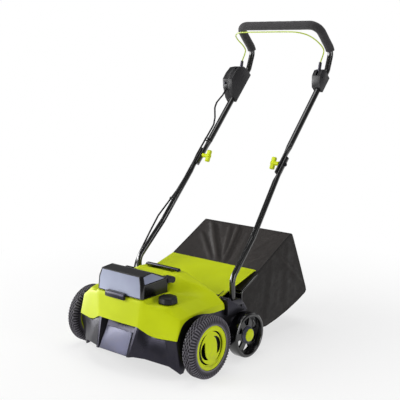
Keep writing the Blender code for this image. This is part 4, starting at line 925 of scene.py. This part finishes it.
def make_bag_seams():
    """Piping along the seams, and a row of stitches beside the upper ones."""
    piping = bmesh.new()
    for side in (1, -1):
        loop(piping, [at(side * BAG_HALF, *point) for point in BAG_FULL], 0.0021, 8, closed=True)
    for index in (4, 10):
        y, z = BAG_FULL[index]
        loop(piping, [at(x, y, z) for x in (-BAG_HALF, 0, BAG_HALF)], 0.0018, 8)
    fitted(bounded(piping, "bag_piping", PIPING), "collection_bag", "fabric")

    stitches = bmesh.new()
    for side in (1, -1):
        x = side * (BAG_HALF + 0.0022)
        for start, end, count in ((*SEAM_CORNERS[:2], 40), (*SEAM_CORNERS[1:], 31)):
            direction = (Vector(end) - Vector(start)).normalized()
            inward = Vector((direction.y, -direction.x))
            for i in range(1, count):
                a = Vector(start) + direction * (STITCH_PITCH * i) + inward * STITCH_INSET
                b = a + direction * STITCH_LENGTH
                middle = at(x + side * 0.0006, *((a + b) / 2))
                loop(stitches, [at(x, *a), middle, at(x, *b)], 0.00045, 5)
    fitted(bounded(stitches, "bag_stitches", CLOTH), "collection_bag", "fabric")


# --- Handle details ---
FLAP_HINGE = (0.1535, 0.211)
HANDLE_BOLT = (0.5042, 0.6227)
HANDLE_BOLT_X = 0.1915
JOINT_OFFSET = 0.0064           # from the plane of the joint to the axis of either pressed end
PRESSED_HALF = 0.0062
PRESSED_LENGTH = 0.075
LOWER_BEND = 0.045
GRIP_BEND = 0.038
TUBE_FOOT = (0.218, 0.189, 0.166)
TUBE_BEND = (0.2175, 0.189, 0.275)
TUBE_KINK = (0.211, 0.31, 0.393)
HANDLE_KNEE = (0.1842, 0.795, 0.944)
GRIP_START = (0.1837, 0.8212, 1.016)
GRIP_CORNER = (0.1815, 0.7287, 1.1108)
GRIP_RADIUS = 0.0165
LOWER_TUBE_RADIUS = 0.01
UPPER_TUBE_RADIUS = 0.011
BAIL_RADIUS = 0.0024
CABLE_RADIUS = 0.0034
HANDLE_RUN = Vector((0.671, 0.7414))
HANDLE_RISE = Vector((-0.7414, 0.671))
RUN = Vector((0, *HANDLE_RUN))


def on_handle(x, distance, rise):
    """A place given by its distance up the handle from the bolt and its rise in front of it."""
    place = Vector(HANDLE_BOLT) + HANDLE_RUN * distance + HANDLE_RISE * rise
    return at(x, *place)


def make_flap_spring():
    """Torsion spring round the flap's hinge rod; one leg lies over the flap."""
    y, z = FLAP_HINGE
    turns = [2 * pi * i / 16 for i in range(16 * 4 + 1)]
    coil = [at(0.1712 + 0.016 * t / turns[-1], y + 0.0076 * sin(t), z + 0.0014 + 0.0076 * cos(t))
            for t in turns]
    leg = [coil[-1] + Vector((0.0, 0.008, 0.0012)), coil[-1] + Vector((0.0, 0.028, 0.0078))]
    foot = [coil[0] + Vector((0.0, -0.0062, -0.003))]
    spring = bounded(loop(bmesh.new(), foot + coil + leg, 0.0015, 8), "flap_coil_spring", BLACK)
    fitted(spring, "rear_flap", "steel", "flap_spring")


def curve(points, steps=8):
    """A smooth polyline through points."""
    path = [points[0]]
    for i in range(len(points) - 1):
        p0, p1 = points[max(i - 1, 0)], points[i]
        p2, p3 = points[i + 1], points[min(i + 2, len(points) - 1)]
        for k in range(1, steps + 1):
            t = k / steps
            path.append(0.5 * ((2 * p1) + (p2 - p0) * t + (2 * p0 - 5 * p1 + 4 * p2 - p3) * t ** 2
                               + (3 * p1 - p0 - 3 * p2 + p3) * t ** 3))
    return path


def band(shape, centre, direction, reach_x, reach_y):
    """A cable tie: a flat loop in the plane square to direction, with its locking head."""
    side, along = Vector((1, 0, 0)), Vector(direction).normalized()
    up = along.cross(side).normalized()
    points = [centre + side * cos(t) * reach_x + up * sin(t) * reach_y
              for t in (2 * pi * k / 28 for k in range(28))]
    for shift in (-0.0012, 0.0, 0.0012):
        loop(shape, [point + along * shift for point in points], 0.0013, 8, closed=True)
    head = centre - side * (reach_x + 0.001)
    loop(shape, [head - up * 0.003, head + up * 0.003], 0.0028, 8)


def rounded(corners, radius):
    """A polyline through corners, with each inner corner replaced by an arc in eight steps."""
    points = [corners[0]]
    for before, corner, after in zip(corners, corners[1:], corners[2:]):
        back = (before - corner).normalized()
        ahead = (after - corner).normalized()
        half = back.angle(ahead) / 2
        centre = corner + (back + ahead).normalized() * (radius / sin(half))
        first = corner + back * (radius / tan(half)) - centre
        last = corner + ahead * (radius / tan(half)) - centre
        axis = first.cross(last).normalized()
        for i in range(9):
            points.append(centre + Matrix.Rotation(first.angle(last) * i / 8, 3, axis) @ first)
    return points + [corners[-1]]


def flipped(points):
    """Points mirrored to the machine's other side."""
    return [Vector((-p.x, p.y, p.z)) for p in points]


def pressed_tube(path, radius, bolts, body, node):
    """A painted tube whose ends are pressed flat along X round each bolt."""
    shape = loop(bmesh.new(), path, radius, 24)
    for vert in shape.verts:
        for bolt in bolts:
            distance = abs((vert.co - bolt).dot(RUN))
            if vert.co.x * bolt.x > 0 and distance < PRESSED_LENGTH:
                amount = min(1.0, (PRESSED_LENGTH - distance) / 0.03)
                vert.co.x += (vert.co.x - bolt.x) * (PRESSED_HALF / radius - 1) * amount
    tube = soften(bounded(shape, node + "_run", TUBE, smooth=40), 0.0006, 2, 60)
    fitted(tube, body, "painted_tube", node)


def make_tubes():
    """Two lower tubes, the bent upper handle and the foam round its grip."""
    for side, word in SIDES:
        bolt = at(HANDLE_BOLT_X + JOINT_OFFSET, *HANDLE_BOLT)
        corners = [at(*point) for point in (TUBE_FOOT, TUBE_BEND, TUBE_KINK)]
        path = rounded([*corners, bolt - RUN * PRESSED_LENGTH], LOWER_BEND)
        path += [bolt - RUN * (0.07 - 0.005 * i) for i in range(14)] + [bolt, bolt + RUN * 0.03]
        if side < 0:
            path, bolt = flipped(path), flipped([bolt])[0]
        pressed_tube(path, LOWER_TUBE_RADIUS, [bolt], "machine_body", f"lower_tube_{word}")

    bolt = at(HANDLE_BOLT_X - JOINT_OFFSET, *HANDLE_BOLT)
    half = [bolt - RUN * 0.04] + [bolt + RUN * (-0.035 + 0.005 * i) for i in range(23)]
    corners = [bolt + RUN * 0.08, *(at(*point) for point in (HANDLE_KNEE, GRIP_START, GRIP_CORNER)),
               at(0.0, *GRIP_CORNER[1:])]
    bends = rounded(corners, GRIP_BEND)[1:]
    half += bends
    whole = half + flipped(half[:-1])[::-1]
    bolts = [bolt, *flipped([bolt])]
    pressed_tube(whole, UPPER_TUBE_RADIUS, bolts, "upper_handle", "upper_handle")

    start = next(i for i, point in enumerate(bends) if point.z > GRIP_START[2] - 0.001)
    grip = [bends[start - 1].lerp(bends[start], 0.5)] + bends[start:]
    grip += flipped(grip[:-1])[::-1]
    dense = [grip[0]]
    for a, b in zip(grip, grip[1:]):
        count = max(1, round((b - a).length / 0.006))
        dense += [a.lerp(b, (i + 1) / count) for i in range(count)]
    shape = loop(bmesh.new(), dense, GRIP_RADIUS, 28)
    foam = bounded(shape, "foam_grip_sleeve", FOAM, smooth=40)
    for vert in foam.data.vertices:
        vert.co += vert.normal * 0.00045 * noise.noise(vert.co / 0.014)
    soften(foam, 0.0022, 3, 60)
    fitted(foam, "upper_handle", "foam", "foam_grip")


def make_bail_wire():
    """The start bar: a bent wire from one pivot arm, round under the grip, to the other."""
    half = curve([at(0.183, 0.7454, 0.9575), at(0.183, 0.7525, 0.98), at(0.183, 0.766, 1.002),
                  at(0.183, 0.77, 1.02), at(0.1825, 0.753, 1.037), at(0.179, 0.716, 1.0585),
                  at(0.166, 0.686, 1.0745), at(0.14, 0.668, 1.0832), at(0.105, 0.6605, 1.0862),
                  at(0.0, 0.66, 1.0865)], 10)
    shape = loop(bmesh.new(), half + flipped(half[:-1])[::-1], BAIL_RADIUS, 10)
    wire = bounded(shape, "bail_wire", WIRE, smooth=40)
    fitted(wire, "bail", "lime_wire", "bail_bar")


def make_handle_details():
    """Cable ties, rivets, screws and the stretch of cable across the fold."""
    upper = bmesh.new()
    band(upper, on_handle(-0.1885, 0.07, 0.004), RUN, 0.0155, 0.013)
    fitted(bounded(upper, "cable_tie_upper", BELT), "upper_handle", "rubber")
    lower = bmesh.new()
    band(lower, at(-0.214, 0.3735, 0.467), (0, 0.645, 0.764), 0.015, 0.0125)
    fitted(bounded(lower, "cable_tie_lower", BELT), "machine_body", "rubber")

    rivets = bmesh.new()
    for side in (1, -1):
        dome(rivets, at(side * 0.1838, 0.801, 0.988), (0.0, -0.95, 0.3), 0.0022)
    fitted(bounded(rivets, "handle_rivets", STEEL), "upper_handle", "steel")

    below, above = at(-0.2092, 0.486, 0.601), on_handle(-0.1985, 0.045, 0.011)
    path = curve([at(-0.2145, 0.4585, 0.564), below, at(-0.206, 0.502, 0.627), above,
                  on_handle(-0.1978, 0.075, 0.0118)])
    link = bounded(loop(bmesh.new(), path, CABLE_RADIUS, 10), "cable_at_fold", BELT)
    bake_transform(link)

    screws = bmesh.new()
    for x, distance, rise in ((-0.201, 0.3, 0.03), (-0.201, 0.4, 0.03), (0.2012, 0.38, 0.024)):
        dome(screws, on_handle(x, distance, rise), (1 if x > 0 else -1, 0, 0), 0.003)
    fitted(bounded(screws, "box_screws", DARK_STEEL), "upper_handle", "steel")


# --- Stage ---
# Soft boxes: name, place, what it points at, size, watts, and whether it lights matt surfaces too
LAMPS = (("key", (-2.3, -2.6, 1.5), (0, -0.1, 0.3), (2.6, 2.4), 110, True),
         ("front_sheen", (-0.9, -3.3, 1.0), (0, -0.1, 0.2), (1.1, 1.2), 32, False),
         ("left_sheen", (-3.3, -0.9, 0.9), (0, -0.1, 0.2), (2.0, 1.8), 150, False),
         ("top", (-0.3, 0.1, 3.4), (0, 0, 0.3), (2.2, 2.2), 46, True),
         ("side", (3.2, -0.3, 1.0), (0, 0, 0.4), (0.9, 2.0), 34, True),
         ("back", (0.6, 3.4, 1.8), (0, 0, 0.5), (2.4, 2.0), 16, True))
CAMERA_PLACE = (1.8962, -1.9382, 1.0459)
CAMERA_AIM = (-0.63914, 0.74694, -0.18326)
CAMERA_LENS = 75.75
WHITE = (1, 1, 1, 1)


def aimed(obj, direction):
    """Links an object that looks along a direction."""
    obj.rotation_euler = Vector(direction).to_track_quat("-Z", "Y").to_euler()
    bpy.context.scene.collection.objects.link(obj)


def make_floor():
    """A pale floor that turns to plain white away from the machine."""
    shape = bmesh.new()
    bmesh.ops.create_grid(shape, x_segments=1, y_segments=1, size=14.0)
    f = Finish("floor")
    f.surface(Base_Color=f.ramp(f.noise(3, 4), (0.0, "f1f1f1"), (1.0, "f6f6f6")),
              Roughness=0.85, Specular_IOR_Level=0.0)
    away = f.add("VectorMath", {0: f.where}, operation="LENGTH").outputs["Value"]
    share = f.add("MapRange", {"Value": away, "From Min": 0.3, "From Max": 1.6, "To Min": 0.66,
                               "To Max": 1.0}, interpolation_type="SMOOTHSTEP").outputs["Result"]
    glow = f.add("Emission", {"Color": WHITE, "Strength": 1.0}).outputs["Emission"]
    blend = f.add("MixShader", {0: share, 1: f.shader.outputs["BSDF"], 2: glow}).outputs["Shader"]
    f.join(blend, f.tree.nodes["Material Output"].inputs["Surface"])
    floor = bounded(shape, "floor", f.material, smooth=0)
    floor.location.z = -0.0006


def make_world():
    """Dim white all round, seen by the camera as full white."""
    world = bpy.context.scene.world = bpy.data.worlds.new("studio")
    world.use_nodes = True
    nodes, links = world.node_tree.nodes, world.node_tree.links
    dim, seen = nodes["Background"], nodes.new("ShaderNodeBackground")
    for background, strength in ((dim, 0.17), (seen, 1.0)):
        background.inputs["Color"].default_value = WHITE
        background.inputs["Strength"].default_value = strength
    path = nodes.new("ShaderNodeLightPath")
    mix = nodes.new("ShaderNodeMixShader")
    links.new(path.outputs["Is Camera Ray"], mix.inputs["Fac"])
    links.new(dim.outputs[0], mix.inputs[1])
    links.new(seen.outputs[0], mix.inputs[2])
    links.new(mix.outputs[0], nodes["World Output"].inputs["Surface"])


def make_lamps():
    for name, place, target, size, power, lights_all in LAMPS:
        data = bpy.data.lights.new(name, "AREA")
        data.shape = "RECTANGLE"
        data.size, data.size_y = size
        data.energy = power
        lamp = bpy.data.objects.new(name, data)
        lamp.location = place
        lamp.visible_diffuse = lights_all
        aimed(lamp, Vector(target) - Vector(place))


def make_camera():
    camera = bpy.data.objects.new("camera", bpy.data.cameras.new("camera"))
    camera.location = at(*CAMERA_PLACE)
    camera.data.sensor_width = 36.0
    camera.data.lens = CAMERA_LENS
    camera.data.clip_end = 60.0
    aimed(camera, CAMERA_AIM)
    bpy.context.scene.camera = camera
    bpy.context.scene.view_settings.view_transform = "Standard"


dress_frame()
make_top_cover()
make_battery_cover()
for side, word in SIDES:
    make_tyre(side, word)
    make_hub(side, word)
    make_rear_wheel(side, word)
make_bag_wrap()
make_bag_sides()
make_bag_seams()
make_tubes()
make_bail_wire()
make_handle_details()
make_flap_spring()
make_floor()
make_world()
make_lamps()
make_camera()
